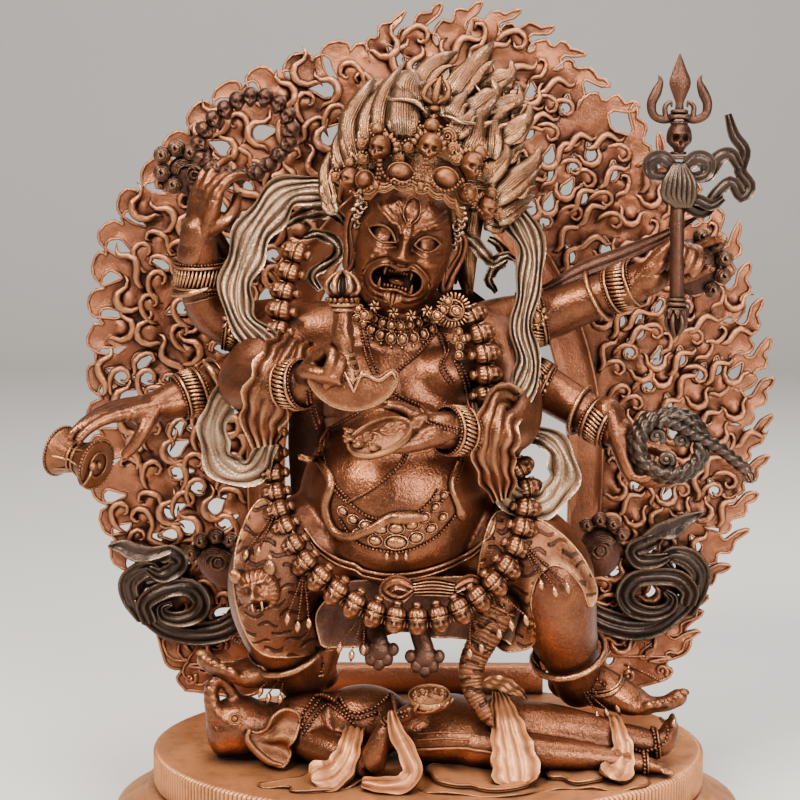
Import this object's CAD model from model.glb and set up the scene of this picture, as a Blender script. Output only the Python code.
import math

import bpy
import numpy as np
from mathutils import Matrix, Vector
from mathutils.geometry import delaunay_2d_cdt


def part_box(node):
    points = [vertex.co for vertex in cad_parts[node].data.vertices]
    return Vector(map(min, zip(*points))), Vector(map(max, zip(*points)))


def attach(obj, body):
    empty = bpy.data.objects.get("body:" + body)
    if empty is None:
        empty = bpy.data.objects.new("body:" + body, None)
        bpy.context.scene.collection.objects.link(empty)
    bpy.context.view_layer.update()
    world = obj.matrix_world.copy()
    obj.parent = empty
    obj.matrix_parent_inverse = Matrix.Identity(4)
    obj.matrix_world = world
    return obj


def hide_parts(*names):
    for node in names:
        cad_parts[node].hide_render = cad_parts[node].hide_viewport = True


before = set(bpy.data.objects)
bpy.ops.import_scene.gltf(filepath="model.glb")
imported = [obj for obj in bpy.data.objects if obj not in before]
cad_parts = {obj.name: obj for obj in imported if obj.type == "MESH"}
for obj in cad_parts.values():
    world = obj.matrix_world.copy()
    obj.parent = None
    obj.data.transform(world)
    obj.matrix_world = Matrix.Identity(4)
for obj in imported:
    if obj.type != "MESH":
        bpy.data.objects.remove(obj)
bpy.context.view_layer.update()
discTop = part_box("lotus_base")[1][2] * 1000   # everything below is drawn in mm above the disc
chance = np.random.default_rng(7)


def unit(v):
    return v / np.maximum(np.linalg.norm(v, axis=-1, keepdims=True), 1e-9)


# A smooth curve through points, sampled at even distances. Columns after x, y, z (such as radii) go along.
def curve(points, count, closed=False):
    p = np.asarray(points, float)
    p = np.vstack([p[-1:], p, p[:2]]) if closed else np.vstack([2 * p[:1] - p[1:2], p, 2 * p[-1:] - p[-2:-1]])
    t = np.linspace(0, 1, 20, endpoint=False)[None, :, None]
    a, b, c, d = (p[i:len(p) - 3 + i, None, :] for i in range(4))
    q = 0.5 * (2 * b + (c - a) * t + (2 * a - 5 * b + 4 * c - d) * t ** 2 + (3 * b - a - 3 * c + d) * t ** 3)
    q = np.vstack([q.reshape(-1, p.shape[1]), p[-2:-1]])
    run = np.concatenate([[0], np.cumsum(np.linalg.norm(np.diff(q[:, :3], axis=0), axis=1))])
    at = np.linspace(0, run[-1], count, endpoint=not closed)
    return np.stack([np.interp(at, run, column) for column in q.T], 1)


def runLength(points):
    return float(np.linalg.norm(np.diff(np.asarray(points, float)[:, :3], axis=0), axis=1).sum())


# Along a path: its heading, a side axis square to it and nearest to the hint, and the third axis.
# With no hint the side axis is the direction in which the path turns least.
def axesAlong(path, hint=None, closed=False):
    step = np.roll(path, -1, 0) - np.roll(path, 1, 0) if closed else np.gradient(path, axis=0)
    heading = unit(step)
    if hint is None:
        hint = np.linalg.eigh(np.cov(heading.T))[1][:, 0]
    hint = np.broadcast_to(np.asarray(hint, float), heading.shape)
    side = unit(hint - (heading * hint).sum(1)[:, None] * heading)
    return heading, side, np.cross(heading, side)


# An oval section carried along a path: path + across cos(turn) third + deep sin(turn) side, each point
# pushed out or in by form(along, turn), with along 0 to 1 and turn in radians.
def sweep(path, across, deep=None, sides=16, form=None, hint=None, closed=False, spin=0.0):
    path = np.asarray(path, float)
    n = len(path)
    across = np.broadcast_to(np.asarray(across, float), n)[:, None, None]
    deep = across if deep is None else np.broadcast_to(np.asarray(deep, float), n)[:, None, None]
    heading, side, third = axesAlong(path[:, :3], hint, closed)
    turn = np.arange(sides)[None, :] * 2 * math.pi / sides + np.broadcast_to(spin, n)[:, None]
    along = np.linspace(0, 1, n)[:, None]
    push = 1 if form is None else form(along, turn)[:, :, None]
    return (path[:, None, :3] + push * (across * np.cos(turn)[:, :, None] * third[:, None, :]
                                        + deep * np.sin(turn)[:, :, None] * side[:, None, :]))


# A bag of closed surfaces that become one mesh. Each surface is turned so that it faces outwards.
class Shape:
    def __init__(self):
        self.points = []
        self.faces = []   # arrays of corner numbers, 3 or 4 columns
        self.count = 0

    def add(self, points, *faceSets, outward=True):
        points = np.asarray(points, float).reshape(-1, 3)
        if outward:
            middle = points.mean(0)
            volume = 0
            for faces in faceSets:
                fans = [faces[:, [0, 1, 2]]] + ([faces[:, [0, 2, 3]]] if faces.shape[1] == 4 else [])
                for fan in fans:
                    a, b, c = (points[fan[:, i]] - middle for i in range(3))
                    volume += (a * np.cross(b, c)).sum()
            if volume < 0:
                faceSets = [faces[:, ::-1] for faces in faceSets]
        self.points.append(points)
        self.faces += [faces + self.count for faces in faceSets]
        self.count += len(points)
        return self

    # A grid of points: rows along, columns round. Ends are "round", "flat" or None where rows join up.
    def grid(self, g, ends=("round", "round"), loop=False, wrap=True):
        g = np.asarray(g, float)
        if not loop and wrap:
            rings = [g]
            for k, kind in enumerate(ends):
                ring, inner = (g[0], g[1]) if k == 0 else (g[-1], g[-2])
                if kind != "round":
                    continue
                centre = ring.mean(0)
                out = unit(centre - inner.mean(0)) * np.linalg.norm(ring - centre, axis=1).mean()
                caps = [centre + (ring - centre) * math.cos(a) + out * math.sin(a) for a in (0.55, 1.1)]
                rings = [np.array(caps[::-1])] + rings if k == 0 else rings + [np.array(caps)]
            g = np.vstack(rings)
        n, m = g.shape[:2]
        rows = np.arange(n if loop else n - 1)[:, None]
        cols = np.arange(m if wrap else m - 1)[None, :]
        quads = np.stack([rows * m + cols, rows * m + (cols + 1) % m,
                          (rows + 1) % n * m + (cols + 1) % m, (rows + 1) % n * m + cols], -1).reshape(-1, 4)
        points = g.reshape(-1, 3)
        sets = [quads]
        if not loop and wrap:
            first, last = len(points), len(points) + 1
            round_ = [1.0 if kind == "round" else 0.0 for kind in ends]
            tip0 = g[0].mean(0) + round_[0] * (g[0].mean(0) - g[1].mean(0)) * 0.3
            tip1 = g[-1].mean(0) + round_[1] * (g[-1].mean(0) - g[-2].mean(0)) * 0.3
            points = np.vstack([points, tip0, tip1])
            i = np.arange(m)
            sets.append(np.stack([(i + 1) % m, i, np.full(m, first)], 1))
            sets.append(np.stack([i, (i + 1) % m, np.full(m, last) - (n - 1) * m], 1) + (n - 1) * m)
        return self.add(points, *sets)

    def tube(self, path, across, deep=None, sides=16, ends=("round", "round"), closed=False, **more):
        return self.grid(sweep(path, across, deep, sides, closed=closed, **more), ends, loop=closed)

    # Copies of another shape: each at a place, turned by three axes (columns) and sized
    def copies(self, other, places, axes=None, sizes=1.0):
        places = np.asarray(places, float).reshape(-1, 3)
        k = len(places)
        if k == 0:
            return self
        axes = np.broadcast_to(np.eye(3) if axes is None else np.asarray(axes, float), (k, 3, 3))
        sizes = np.asarray(sizes, float)
        sizes = np.broadcast_to(sizes[:, None] if sizes.ndim == 1 and len(sizes) == k else sizes, (k, 3))
        own = np.vstack(other.points)
        points = places[:, None] + np.einsum("kij,knj->kni", axes, own[None] * sizes[:, None, :])
        shift = (np.arange(k) * len(own))[:, None, None]
        sets = [(faces[None] + shift).reshape(-1, faces.shape[1]) for faces in other.faces]
        return self.add(points.reshape(-1, 3), *sets, outward=False)

    def join(self, other):
        return self.copies(other, [[0, 0, 0]])

    def moved(self, change):
        self.points = [change(points) for points in self.points]
        return self

    def triangles(self):
        return sum(len(faces) * (faces.shape[1] - 2) for faces in self.faces)

    def mesh(self, name, scale=1.0, up=0.0):
        mesh = bpy.data.meshes.new(name)
        points = (np.vstack(self.points) + [0, 0, up]) * scale
        corners = np.concatenate([faces.reshape(-1) for faces in self.faces])
        sizes = np.concatenate([np.full(len(faces), faces.shape[1]) for faces in self.faces])
        mesh.vertices.add(len(points))
        mesh.vertices.foreach_set("co", points.reshape(-1))
        mesh.loops.add(len(corners))
        mesh.loops.foreach_set("vertex_index", corners.astype(np.int32))
        mesh.polygons.add(len(sizes))
        mesh.polygons.foreach_set("loop_start", np.concatenate([[0], np.cumsum(sizes)[:-1]]).astype(np.int32))
        mesh.update(calc_edges=True)
        mesh.validate()
        return mesh


# The surfaces of a shape grown together on a fine lattice, then smoothed, as one skin
def fused(shape, cell, rounds=4, strength=0.5, thin=1.0):
    block = bpy.data.objects.new("clay", shape.mesh("clay"))
    bpy.context.scene.collection.objects.link(block)
    remesh = block.modifiers.new("lattice", "REMESH")
    remesh.mode = "VOXEL"
    remesh.voxel_size = cell
    remesh.adaptivity = 0.0
    smooth = block.modifiers.new("smooth", "SMOOTH")
    smooth.factor = strength
    smooth.iterations = rounds
    if thin < 1:
        fewer = block.modifiers.new("fewer", "DECIMATE")
        fewer.ratio = thin
    done = block.evaluated_get(bpy.context.evaluated_depsgraph_get()).to_mesh()
    points = np.empty(len(done.vertices) * 3)
    done.vertices.foreach_get("co", points)
    sizes = np.empty(len(done.polygons), np.int32)
    done.polygons.foreach_get("loop_total", sizes)
    corners = np.empty(len(done.loops), np.int32)
    done.loops.foreach_get("vertex_index", corners)
    starts = np.concatenate([[0], np.cumsum(sizes)[:-1]])
    skin = Shape()
    sets = [corners[starts[sizes == k][:, None] + np.arange(k)] for k in (3, 4) if (sizes == k).any()]
    skin.add(points.reshape(-1, 3), *sets, outward=False)
    bpy.data.objects.remove(block)
    return skin


# Directions square to a skin at each of its points, from the faces around it
def normalsOf(shape):
    points = np.vstack(shape.points)
    total = np.zeros_like(points)
    for faces in shape.faces:
        a, b, c = (points[faces[:, i]] for i in range(3))
        square = np.cross(b - a, c - a)
        for i in range(faces.shape[1]):
            np.add.at(total, faces[:, i], square)
    return unit(total)


# Pushes a skin's points out along its normals by height(points), in mm
def carved(shape, height):
    points = np.vstack(shape.points)
    shape.points = [points + normalsOf(shape) * height(points)[:, None]]
    return shape


# The distance from points to a drawn line, all in as many dimensions as they have
def distanceTo(points, line, closed=False):
    line = np.asarray(line, float)
    ends = np.roll(line, -1, 0) if closed else line[1:]
    starts = line if closed else line[:-1]
    best = np.full(len(points), 1e9)
    for a, b in zip(starts, ends):
        along = np.clip(((points - a) @ (b - a)) / max((b - a) @ (b - a), 1e-12), 0, 1)
        best = np.minimum(best, np.linalg.norm(points - a - along[:, None] * (b - a), axis=1))
    return best


def insideOf(points, outline):
    x, y = points[:, 0], points[:, 1]
    a, b = np.asarray(outline, float), np.roll(np.asarray(outline, float), -1, 0)
    inside = np.zeros(len(points), bool)
    for (x0, y0), (x1, y1) in zip(a, b):
        crosses = (y0 > y) != (y1 > y)
        inside ^= crosses & (x < (x1 - x0) * (y - y0) / ((y1 - y0) or 1e-12) + x0)
    return inside


# A smooth hill: 1 at the centre, fading with distance over the given reach on each axis
def hill(points, centre, reach):
    return np.exp(-(((points - np.asarray(centre, float)) / np.asarray(reach, float)) ** 2).sum(-1))


def ease(x, low, high):
    t = np.clip((x - low) / (high - low), 0, 1)
    return t * t * (3 - 2 * t)


# A ball or egg of few faces, with its poles on z
def egg(around=8, up=5, size=(1, 1, 1)):
    fall = np.linspace(-math.pi / 2, math.pi / 2, up + 2)[1:-1, None]
    turn = np.arange(around)[None, :] * 2 * math.pi / around
    g = np.stack([np.cos(fall) * np.cos(turn), np.cos(fall) * np.sin(turn), np.sin(fall) + 0 * turn], -1)
    shape = Shape()
    n = up * around
    quads = np.array([[r * around + c, r * around + (c + 1) % around,
                       (r + 1) * around + (c + 1) % around, (r + 1) * around + c]
                      for r in range(up - 1) for c in range(around)]).reshape(-1, 4)
    i = np.arange(around)
    low = np.stack([(i + 1) % around, i, np.full(around, n)], 1)
    high = np.stack([(up - 1) * around + i, (up - 1) * around + (i + 1) % around, np.full(around, n + 1)], 1)
    points = np.vstack([g.reshape(-1, 3), [0, 0, -1], [0, 0, 1]]) * np.asarray(size, float)
    return shape.add(points, *([quads] if len(quads) else []), low, high)


bead = egg(8, 4)
tinyBead = egg(6, 3)


# A row of beads that touch along a path
def beadsAlong(shape, path, radius, gap=1.0, closed=False, template=None, hint=None):
    path = np.asarray(path, float)
    count = max(2, int(round(runLength(path) / (2 * radius * gap))))
    spots = curve(path, count, closed)
    heading, side, third = axesAlong(spots[:, :3], hint, closed)
    axes = np.stack([third, side, heading], -1)
    shape.copies(template or bead, spots[:, :3], axes, radius)
    return spots


# Adds a finished piece to the object, in metres. Its nearly flat parts get larger faces: keep is the share left.
def piece(name, shape, material, stands=(), sharp=35, keep=1.0):
    mesh = shape.mesh(name, 1.0, discTop)
    thing = bpy.data.objects.new(name, mesh)
    bpy.context.scene.collection.objects.link(thing)
    if keep < 1:
        thing.modifiers.new("fewer", "DECIMATE").ratio = keep
        mesh = bpy.data.meshes.new_from_object(thing.evaluated_get(bpy.context.evaluated_depsgraph_get()))
        thing.modifiers.clear()
        thing.data = mesh
        mesh.validate()
    mesh.transform(Matrix.Scale(0.001, 4))
    mesh.polygons.foreach_set("use_smooth", np.ones(len(mesh.polygons), bool))
    mesh.set_sharp_from_angle(angle=math.radians(sharp))
    mesh.materials.clear()
    mesh.materials.append(material)
    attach(thing, "root")
    if stands:
        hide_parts(*stands)
    return thing


# A value or colour on its way through a material: sums and products of these make Math nodes
class Signal:
    def __init__(self, tree, socket):
        self.tree, self.socket = tree, socket

    def calc(self, operation, *others, clamp=False):
        return self.tree.make("ShaderNodeMath", {"operation": operation, "use_clamp": clamp}, [self, *others])

    def __add__(self, other): return self.calc("ADD", other)
    def __sub__(self, other): return self.calc("SUBTRACT", other)
    def __mul__(self, other): return self.calc("MULTIPLY", other)
    def __truediv__(self, other): return self.calc("DIVIDE", other)
    def __pow__(self, other): return self.calc("POWER", other)
    def __radd__(self, other): return self.tree.number(other) + self
    def __rsub__(self, other): return self.tree.number(other) - self
    def __rmul__(self, other): return self * other

    # 0 below low, 1 above high, eased between
    def rise(self, low, high):
        return self.tree.make("ShaderNodeMapRange", {"interpolation_type": "SMOOTHSTEP"},
                              {"Value": self, "From Min": low, "From Max": high})


# A material's nodes: make() takes a node's type, settings and inputs and gives its first output
class Finish:
    def __init__(self, name):
        self.material = bpy.data.materials.new(name)
        self.material.use_nodes = True
        self.nodes = self.material.node_tree.nodes
        self.links = self.material.node_tree.links
        self.shader = self.nodes["Principled BSDF"]
        self.place = self.make("ShaderNodeTexCoord", {}, {}, "Object")

    def number(self, value):
        return self.make("ShaderNodeMath", {"operation": "ADD"}, [value, 0.0])

    def feed(self, socket, value):
        if isinstance(value, Signal):
            self.links.new(value.socket, socket)
        elif isinstance(value, (tuple, list)) and len(value) == 3 and socket.type == "RGBA":
            socket.default_value = (*value, 1)
        else:
            socket.default_value = value

    def make(self, kind, settings=None, inputs=None, output=0):
        node = self.nodes.new(kind)
        for name, value in (settings or {}).items():
            setattr(node, name, value)
        named = enumerate(inputs) if isinstance(inputs, (list, tuple)) else (inputs or {}).items()
        for key, value in named:
            self.feed(node.inputs[key], value)
        return Signal(self, node.outputs[output])

    def mix(self, amount, first, second, blend="MIX"):
        node = self.nodes.new("ShaderNodeMix")
        node.data_type = "RGBA"
        node.blend_type = blend
        for key, value in ((0, amount), (6, first), (7, second)):
            self.feed(node.inputs[key], value)
        return Signal(self, node.outputs[2])

    def noise(self, scale, detail=2.0, roughness=0.5, stretch=None):
        place = self.place
        if stretch:
            place = self.make("ShaderNodeMapping", {}, {"Vector": place, "Scale": stretch})
        return self.make("ShaderNodeTexNoise", {}, {"Vector": place, "Scale": scale, "Detail": detail,
                                                   "Roughness": roughness})

    def surface(self, **inputs):
        for key, value in inputs.items():
            self.feed(self.shader.inputs[key.replace("_", " ")], value)
        return self.material


# Short wavy cuts in rows, as on a tiger's coat: 1 in a cut. spacing is the rows' distance in metres.
def tigerCuts(finish, spacing):
    x, z = (finish.make("ShaderNodeSeparateXYZ", {}, {"Vector": finish.place}, axis) for axis in "XZ")
    rows = (z + 0.0042 * finish.noise(120, 1) + 0.0007 * (x * 900).calc("SINE")) / spacing
    row = rows.calc("FLOOR")
    line = 1.0 - (rows - row - 0.5).calc("ABSOLUTE").rise(0.10, 0.26)
    dash = (x * 560 + row * 2.4).calc("SINE").rise(-0.35, 0.15)
    return line * dash


# Patinated bronze: a mid tone that clouds over, dark in the hollows, rubbed bright on the high edges,
# under a fine cast grain
def bronze(name, tone):
    finish = Finish(name)
    clouds = finish.noise(55, 3)
    blotches = finish.noise(210, 3, 0.6)
    hollow = finish.make("ShaderNodeAmbientOcclusion", {"samples": 6}, {"Distance": tone["hollowReach"]}, "AO")
    open_ = hollow.rise(*tone["hollowRange"])
    point = finish.make("ShaderNodeNewGeometry", {}, {}, "Pointiness")
    rubbed = point.rise(*tone["rubRange"]) * open_ * tone["rub"]
    mid = finish.mix(clouds.rise(0.35, 0.68), tone["mid"], tone["warm"])
    mid = finish.mix(blotches.rise(0.45, 0.75) * 0.35, mid, tone["dark"])
    grain = finish.noise(tone["grainScale"], 2, 0.7)
    worn = finish.mix(rubbed, mid, tone["bright"])
    worn = finish.mix(grain.rise(0.52, 0.74) * 0.27 * tone["grain"], worn, tone["bright"])
    colour = finish.mix(open_, tone["dark"], worn)
    pits = finish.noise(tone["grainScale"] * 0.33, 2, 0.5)
    height = grain * 0.6 + pits * 0.5
    if "stripes" in tone:
        cuts = tigerCuts(finish, tone["stripes"])
        colour = finish.mix(cuts * 0.8, colour, tone["dark"])
        height = height - cuts * 1.6
    bump = finish.make("ShaderNodeBump", {}, {"Strength": tone["grain"], "Distance": 0.0006, "Height": height},
                       "Normal")
    rough = tone["roughness"] + 0.16 * (grain - 0.5) + 0.22 * (1.0 - open_) - 0.08 * rubbed
    return finish.surface(Base_Color=colour, Metallic=tone["metal"], Roughness=rough, Normal=bump)


bronzeTones = {
    "warm": {"mid": (0.142, 0.047, 0.021), "warm": (0.225, 0.076, 0.031), "bright": (0.80, 0.39, 0.185),
             "dark": (0.020, 0.007, 0.005), "hollowReach": 0.0065, "hollowRange": (0.30, 0.97),
             "rubRange": (0.508, 0.61), "rub": 0.6, "grainScale": 1350, "grain": 0.5, "roughness": 0.30,
             "metal": 0.84},
    "pale": {"mid": (0.235, 0.078, 0.036), "warm": (0.335, 0.113, 0.049), "bright": (0.78, 0.36, 0.175),
             "dark": (0.026, 0.008, 0.005), "hollowReach": 0.0065, "hollowRange": (0.28, 0.97),
             "rubRange": (0.51, 0.64), "rub": 0.42, "grainScale": 2000, "grain": 0.5, "roughness": 0.35,
             "metal": 0.72},
    "gold": {"mid": (0.160, 0.056, 0.023), "warm": (0.24, 0.086, 0.032), "bright": (0.78, 0.39, 0.16),
             "dark": (0.026, 0.009, 0.006), "hollowReach": 0.004, "hollowRange": (0.25, 0.92),
             "rubRange": (0.52, 0.66), "rub": 0.42, "grainScale": 2200, "grain": 0.5, "roughness": 0.34,
             "metal": 0.78},
    "brass": {"mid": (0.26, 0.157, 0.095), "warm": (0.39, 0.240, 0.148), "bright": (0.98, 0.76, 0.52),
              "dark": (0.016, 0.008, 0.006), "hollowReach": 0.005, "hollowRange": (0.28, 0.95),
              "rubRange": (0.51, 0.62), "rub": 0.6, "grainScale": 2000, "grain": 0.6, "roughness": 0.28,
              "metal": 0.8},
    "hair": {"mid": (0.215, 0.088, 0.040), "warm": (0.33, 0.140, 0.062), "bright": (0.98, 0.66, 0.39),
             "dark": (0.018, 0.007, 0.005), "hollowReach": 0.004, "hollowRange": (0.25, 0.95),
             "rubRange": (0.51, 0.62), "rub": 0.72, "grainScale": 2000, "grain": 0.45, "roughness": 0.25,
             "metal": 0.85},
    "deep": {"mid": (0.058, 0.022, 0.014), "warm": (0.095, 0.036, 0.021), "bright": (0.55, 0.30, 0.17),
             "dark": (0.012, 0.005, 0.004), "hollowReach": 0.005, "hollowRange": (0.25, 0.95),
             "rubRange": (0.52, 0.66), "rub": 0.35, "grainScale": 2000, "grain": 0.5, "roughness": 0.35,
             "metal": 0.78},
    "tiger": {"mid": (0.118, 0.040, 0.018), "warm": (0.175, 0.059, 0.024), "bright": (0.72, 0.34, 0.15),
              "dark": (0.020, 0.007, 0.005), "hollowReach": 0.0065, "hollowRange": (0.30, 0.97),
              "rubRange": (0.508, 0.60), "rub": 0.55, "grainScale": 1900, "grain": 0.62, "roughness": 0.37,
              "metal": 0.78, "stripes": 0.0031},
    "disc": {"mid": (0.46, 0.180, 0.070), "warm": (0.62, 0.25, 0.095), "bright": (0.80, 0.40, 0.18),
             "dark": (0.040, 0.014, 0.008), "hollowReach": 0.007, "hollowRange": (0.3, 0.97),
             "rubRange": (0.51, 0.6), "rub": 0.4, "grainScale": 1800, "grain": 0.3, "roughness": 0.42,
             "metal": 0.6},
    "dark": {"mid": (0.030, 0.019, 0.015), "warm": (0.048, 0.028, 0.020), "bright": (0.42, 0.28, 0.18),
             "dark": (0.008, 0.005, 0.004), "hollowReach": 0.005, "hollowRange": (0.2, 0.85),
             "rubRange": (0.52, 0.64), "rub": 0.4, "grainScale": 2000, "grain": 0.3, "roughness": 0.30,
             "metal": 0.72},
}
finishes = {name: bronze(name + "Bronze", tone) for name, tone in bronzeTones.items()}
print("finishes ready")


# The plinth, from the fluted disc down: the disc's edge, petals in two rows, and a plain foot
plinth = {"long": 90.0, "deep": 62.0, "rim": 12.0, "flutes": 300, "fluteDepth": 0.8, "petals": 16,
          "petalLength": 27.0, "footTop": -33.5, "footBottom": -38.0}


def makeDisc():
    # an oval whose edge swells in and out: radius = 1 + depth |cos(flutes x turn / 2)|, carried down a profile
    columns = plinth["flutes"] * 4
    turn = np.arange(columns) * 2 * math.pi / columns
    flute = plinth["fluteDepth"] * (np.abs(np.sin(turn * plinth["flutes"] / 2)) - 1)
    inset = np.array([60, 30, 10, 2.2, 1.2, 0.35, 0, 0, 0, 0.3, 1.2, 5])
    depth = np.array([0, 0, 0, 0, 0.02, 0.35, 1.1, 5.5, 10.4, 11.4, 12, 12])
    share = np.array([0, 0, 0, 0, 0.6, 1, 1, 1, 1, 1, 0.4, 0])
    long = plinth["long"] - inset[:, None] + share[:, None] * flute[None, :]
    deep = np.maximum(plinth["deep"] - inset[:, None], 1.5) + share[:, None] * flute[None, :]
    g = np.stack([long * np.cos(turn), deep * np.sin(turn), -depth[:, None] + 0 * turn], -1)
    return Shape().grid(g, ("flat", "flat"))


def petal(shape, middle, halfAngle, outset, drop, lengthShare):
    # across u from -1 to 1, down v from 0 to 1: the profile swings out, down and a little up at the tip, and
    # the petal bulges as 1 - u squared, with a raised rim inside its edge and two fine lines
    u = np.linspace(-1, 1, 21)[None, :]
    v = np.linspace(0, 1, 22)[:, None]
    full = (1 - np.clip((v - 0.45) / 0.55, 0, 1) ** 2.6) ** 0.5 * (0.88 + 0.12 * np.sin(v * math.pi))
    turn = middle + u * halfAngle * np.maximum(full, 0.02)
    swing = np.sin(v * 2.35) * 14.5 + outset + 2.2 * v ** 6
    high = -plinth["rim"] - drop - lengthShare * 20.5 * v ** 1.15 + 1.6 * v ** 10
    edge = np.clip(np.maximum(np.abs(u) * 1.0, (v - 0.55) / 0.45 * 0.98), 0, 1)
    bulge = 3.6 * (1 - u ** 2) * np.sin(v * 2.6 + 0.35) + 0.55 * np.exp(-((edge - 0.86) / 0.05) ** 2)
    bulge -= 0.45 * np.exp(-((edge - 0.76) / 0.04) ** 2) + 0.3 * np.exp(-((edge - 0.62) / 0.035) ** 2)
    rise = swing + bulge
    long, deep = plinth["long"] - 3 + rise, plinth["deep"] - 3 + rise
    front = np.stack([long * np.cos(turn), deep * np.sin(turn), high + 0 * u], -1)
    back = np.stack([(long - 3.5) * np.cos(turn), (deep - 3.5) * np.sin(turn), high - 0.6 + 0 * u], -1)
    shape.grid(np.concatenate([front, back[:, ::-1]], 1), ("flat", "flat"))


def makeLotus():
    shape = Shape()
    half = math.pi / plinth["petals"]
    for row, (outset, drop, share) in enumerate(((-2.2, 2.0, 1.04), (-0.6, 0.2, 0.96))):
        for k in range(plinth["petals"]):
            # petals get even room along the oval's edge, not even angles
            turn = 2 * half * (k + 0.5 * row)
            turn = turn - 0.16 * math.sin(2 * turn)
            petal(shape, turn + 0.001, half * (1.02 + 0.12 * math.cos(2 * turn)), outset, drop, share)
    turn = np.arange(160) * 2 * math.pi / 160
    rows = [(-2, -11.8), (2, -13), (6, -18), (9, -24), (10, -30), (8.5, -33.2), (11.5, -33.8), (12.4, -34.6),
            (12.4, -37.3), (11.9, -38.0)]
    g = np.array([np.stack([(plinth["long"] + o) * np.cos(turn), (plinth["deep"] + o) * np.sin(turn),
                            z + 0 * turn], -1) for o, z in rows])
    return shape.grid(g, ("flat", "flat"))


piece("plinth_disc", makeDisc(), finishes["disc"], ["lotus_base"], sharp=50, keep=0.75)
piece("plinth_lotus", makeLotus(), finishes["disc"], ["lotus_base"], sharp=60, keep=0.6)
print("plinth ready")


# The aureole: a plain ring round its opening before an openwork plate of flames. The plate's outline breaks
# into curled tips, drop-shaped holes go right through, and raised strokes swing over its face.
aureole = {"front": 52.3, "back": 54.9, "openTop": 176.0, "openHalf": 50.0, "band": 13.0, "aside": -3.0,
           "high": 242.0, "half": 123.0, "edge": 18.0, "net": 1.5, "spacing": 5.9, "holes": 0.32}
# the line through the flames' outer tips, from the left foot up, and from the right foot up to meet it
tipLines = {
    "left": [(-84, 3), (-90, 8), (-96, 20), (-110, 43.5), (-113, 54), (-116, 62), (-118.5, 74), (-119.5, 98),
             (-119.5, 110), (-119, 128), (-118, 146), (-115, 162), (-108, 175), (-96, 190), (-80, 209), (-70, 216),
             (-58, 221), (-44, 226), (-30, 231), (-12, 238), (4, 241.5), (20, 241.5), (36, 237), (50, 228), (60, 217),
             (70, 209)],
    "right": [(89, 8), (94, 17), (98, 31), (103, 40), (111, 55), (116, 73), (119, 86), (120, 100), (120, 116),
              (118, 133), (113, 146), (108, 165), (102, 174), (90, 186), (79, 198), (72, 206)],
}
# one curled tip: steps ahead along the line and out from it, in mm
tipShape = [(0.0, -8.6), (-0.4, -6.4), (0.4, -3.9), (1.8, -2.9), (2.9, -3.6), (4.0, -3.0), (4.9, -1.0), (6.6, -0.5),
            (7.9, -1.2), (9.2, 0.2), (11.4, 0.9), (10.2, -1.5), (8.4, -2.6), (7.0, -3.4), (6.7, -4.9), (7.9, -5.6),
            (8.9, -6.6)]
# where the flames are rounder, as on the left: a full curl and a smaller one behind it
curlShape = [(0.0, -8.6), (-1.5, -6.8), (-2.1, -4.2), (-1.3, -1.5), (0.9, 0.0), (3.4, -0.2), (5.0, -1.8), (4.9, -3.8),
             (6.2, -2.7), (8.2, -2.9), (9.3, -4.6), (8.7, -6.8)]
strokeShapes = {   # ahead, aside, half width
    "wave": [(-6.0, -1.4, 0.15), (-4.4, -2.1, 0.7), (-2.5, -1.4, 1.0), (-0.8, 0.8, 1.1), (1.0, 2.0, 1.0), (2.8, 1.3, 0.85),
             (4.2, 0.1, 0.7), (5.6, 0.3, 0.45), (6.8, 1.8, 0.12)],
    "cup": [(-3.9, 3.4, 0.12), (-2.6, 2.3, 0.5), (-2.9, 0.0, 0.8), (-1.6, -2.2, 1.05), (0.4, -2.7, 1.1),
            (2.2, -1.8, 0.9), (2.9, 0.3, 0.6), (4.4, 1.3, 0.5), (6.2, 0.7, 0.12)],
    "comma": [(-5.4, 1.6, 0.12), (-3.2, 2.9, 0.6), (-0.6, 3.0, 0.85), (1.9, 1.7, 0.85), (2.3, -0.6, 0.75),
              (0.6, -1.9, 0.6), (-0.9, -0.9, 0.5), (-0.4, 0.4, 0.3)],
    "hook": [(-4.4, -2.6, 0.12), (-2.4, -0.9, 0.6), (-0.2, -1.3, 0.8), (1.7, 0.1, 0.8), (2.6, 2.3, 0.65),
             (1.3, 3.6, 0.5), (0.1, 2.5, 0.25)],
}


# A point of the egg that rules the ring: from the opening (spread 0) outwards
def eggPoint(turn, spread):
    angle = np.asarray(turn) * 2.62
    upward = np.cos(angle)
    outer = aureole["edge"] * 0.9
    widest = aureole["high"] * 0.446 * spread + aureole["openTop"] * 0.48 * (1 - spread)
    top = aureole["openTop"] * (1 - spread) + (aureole["high"] - outer) * spread
    half = aureole["openHalf"] * (1 - spread) + (aureole["half"] - outer) * spread
    shoulder = 1 + (1 - spread) * np.where(upward < 0, 0.48 * upward * upward, -0.1 * upward)
    return np.stack([aureole["aside"] * spread + half * shoulder * np.sin(angle),
                     widest + (top - widest) * upward], -1)


def level(points, count, closed=False):
    p = np.asarray(points, float)
    line = curve(np.column_stack([p[:, 0], 0 * p[:, 0], p[:, 1:]]), count, closed)
    return np.delete(line, 1, axis=1)


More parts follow.
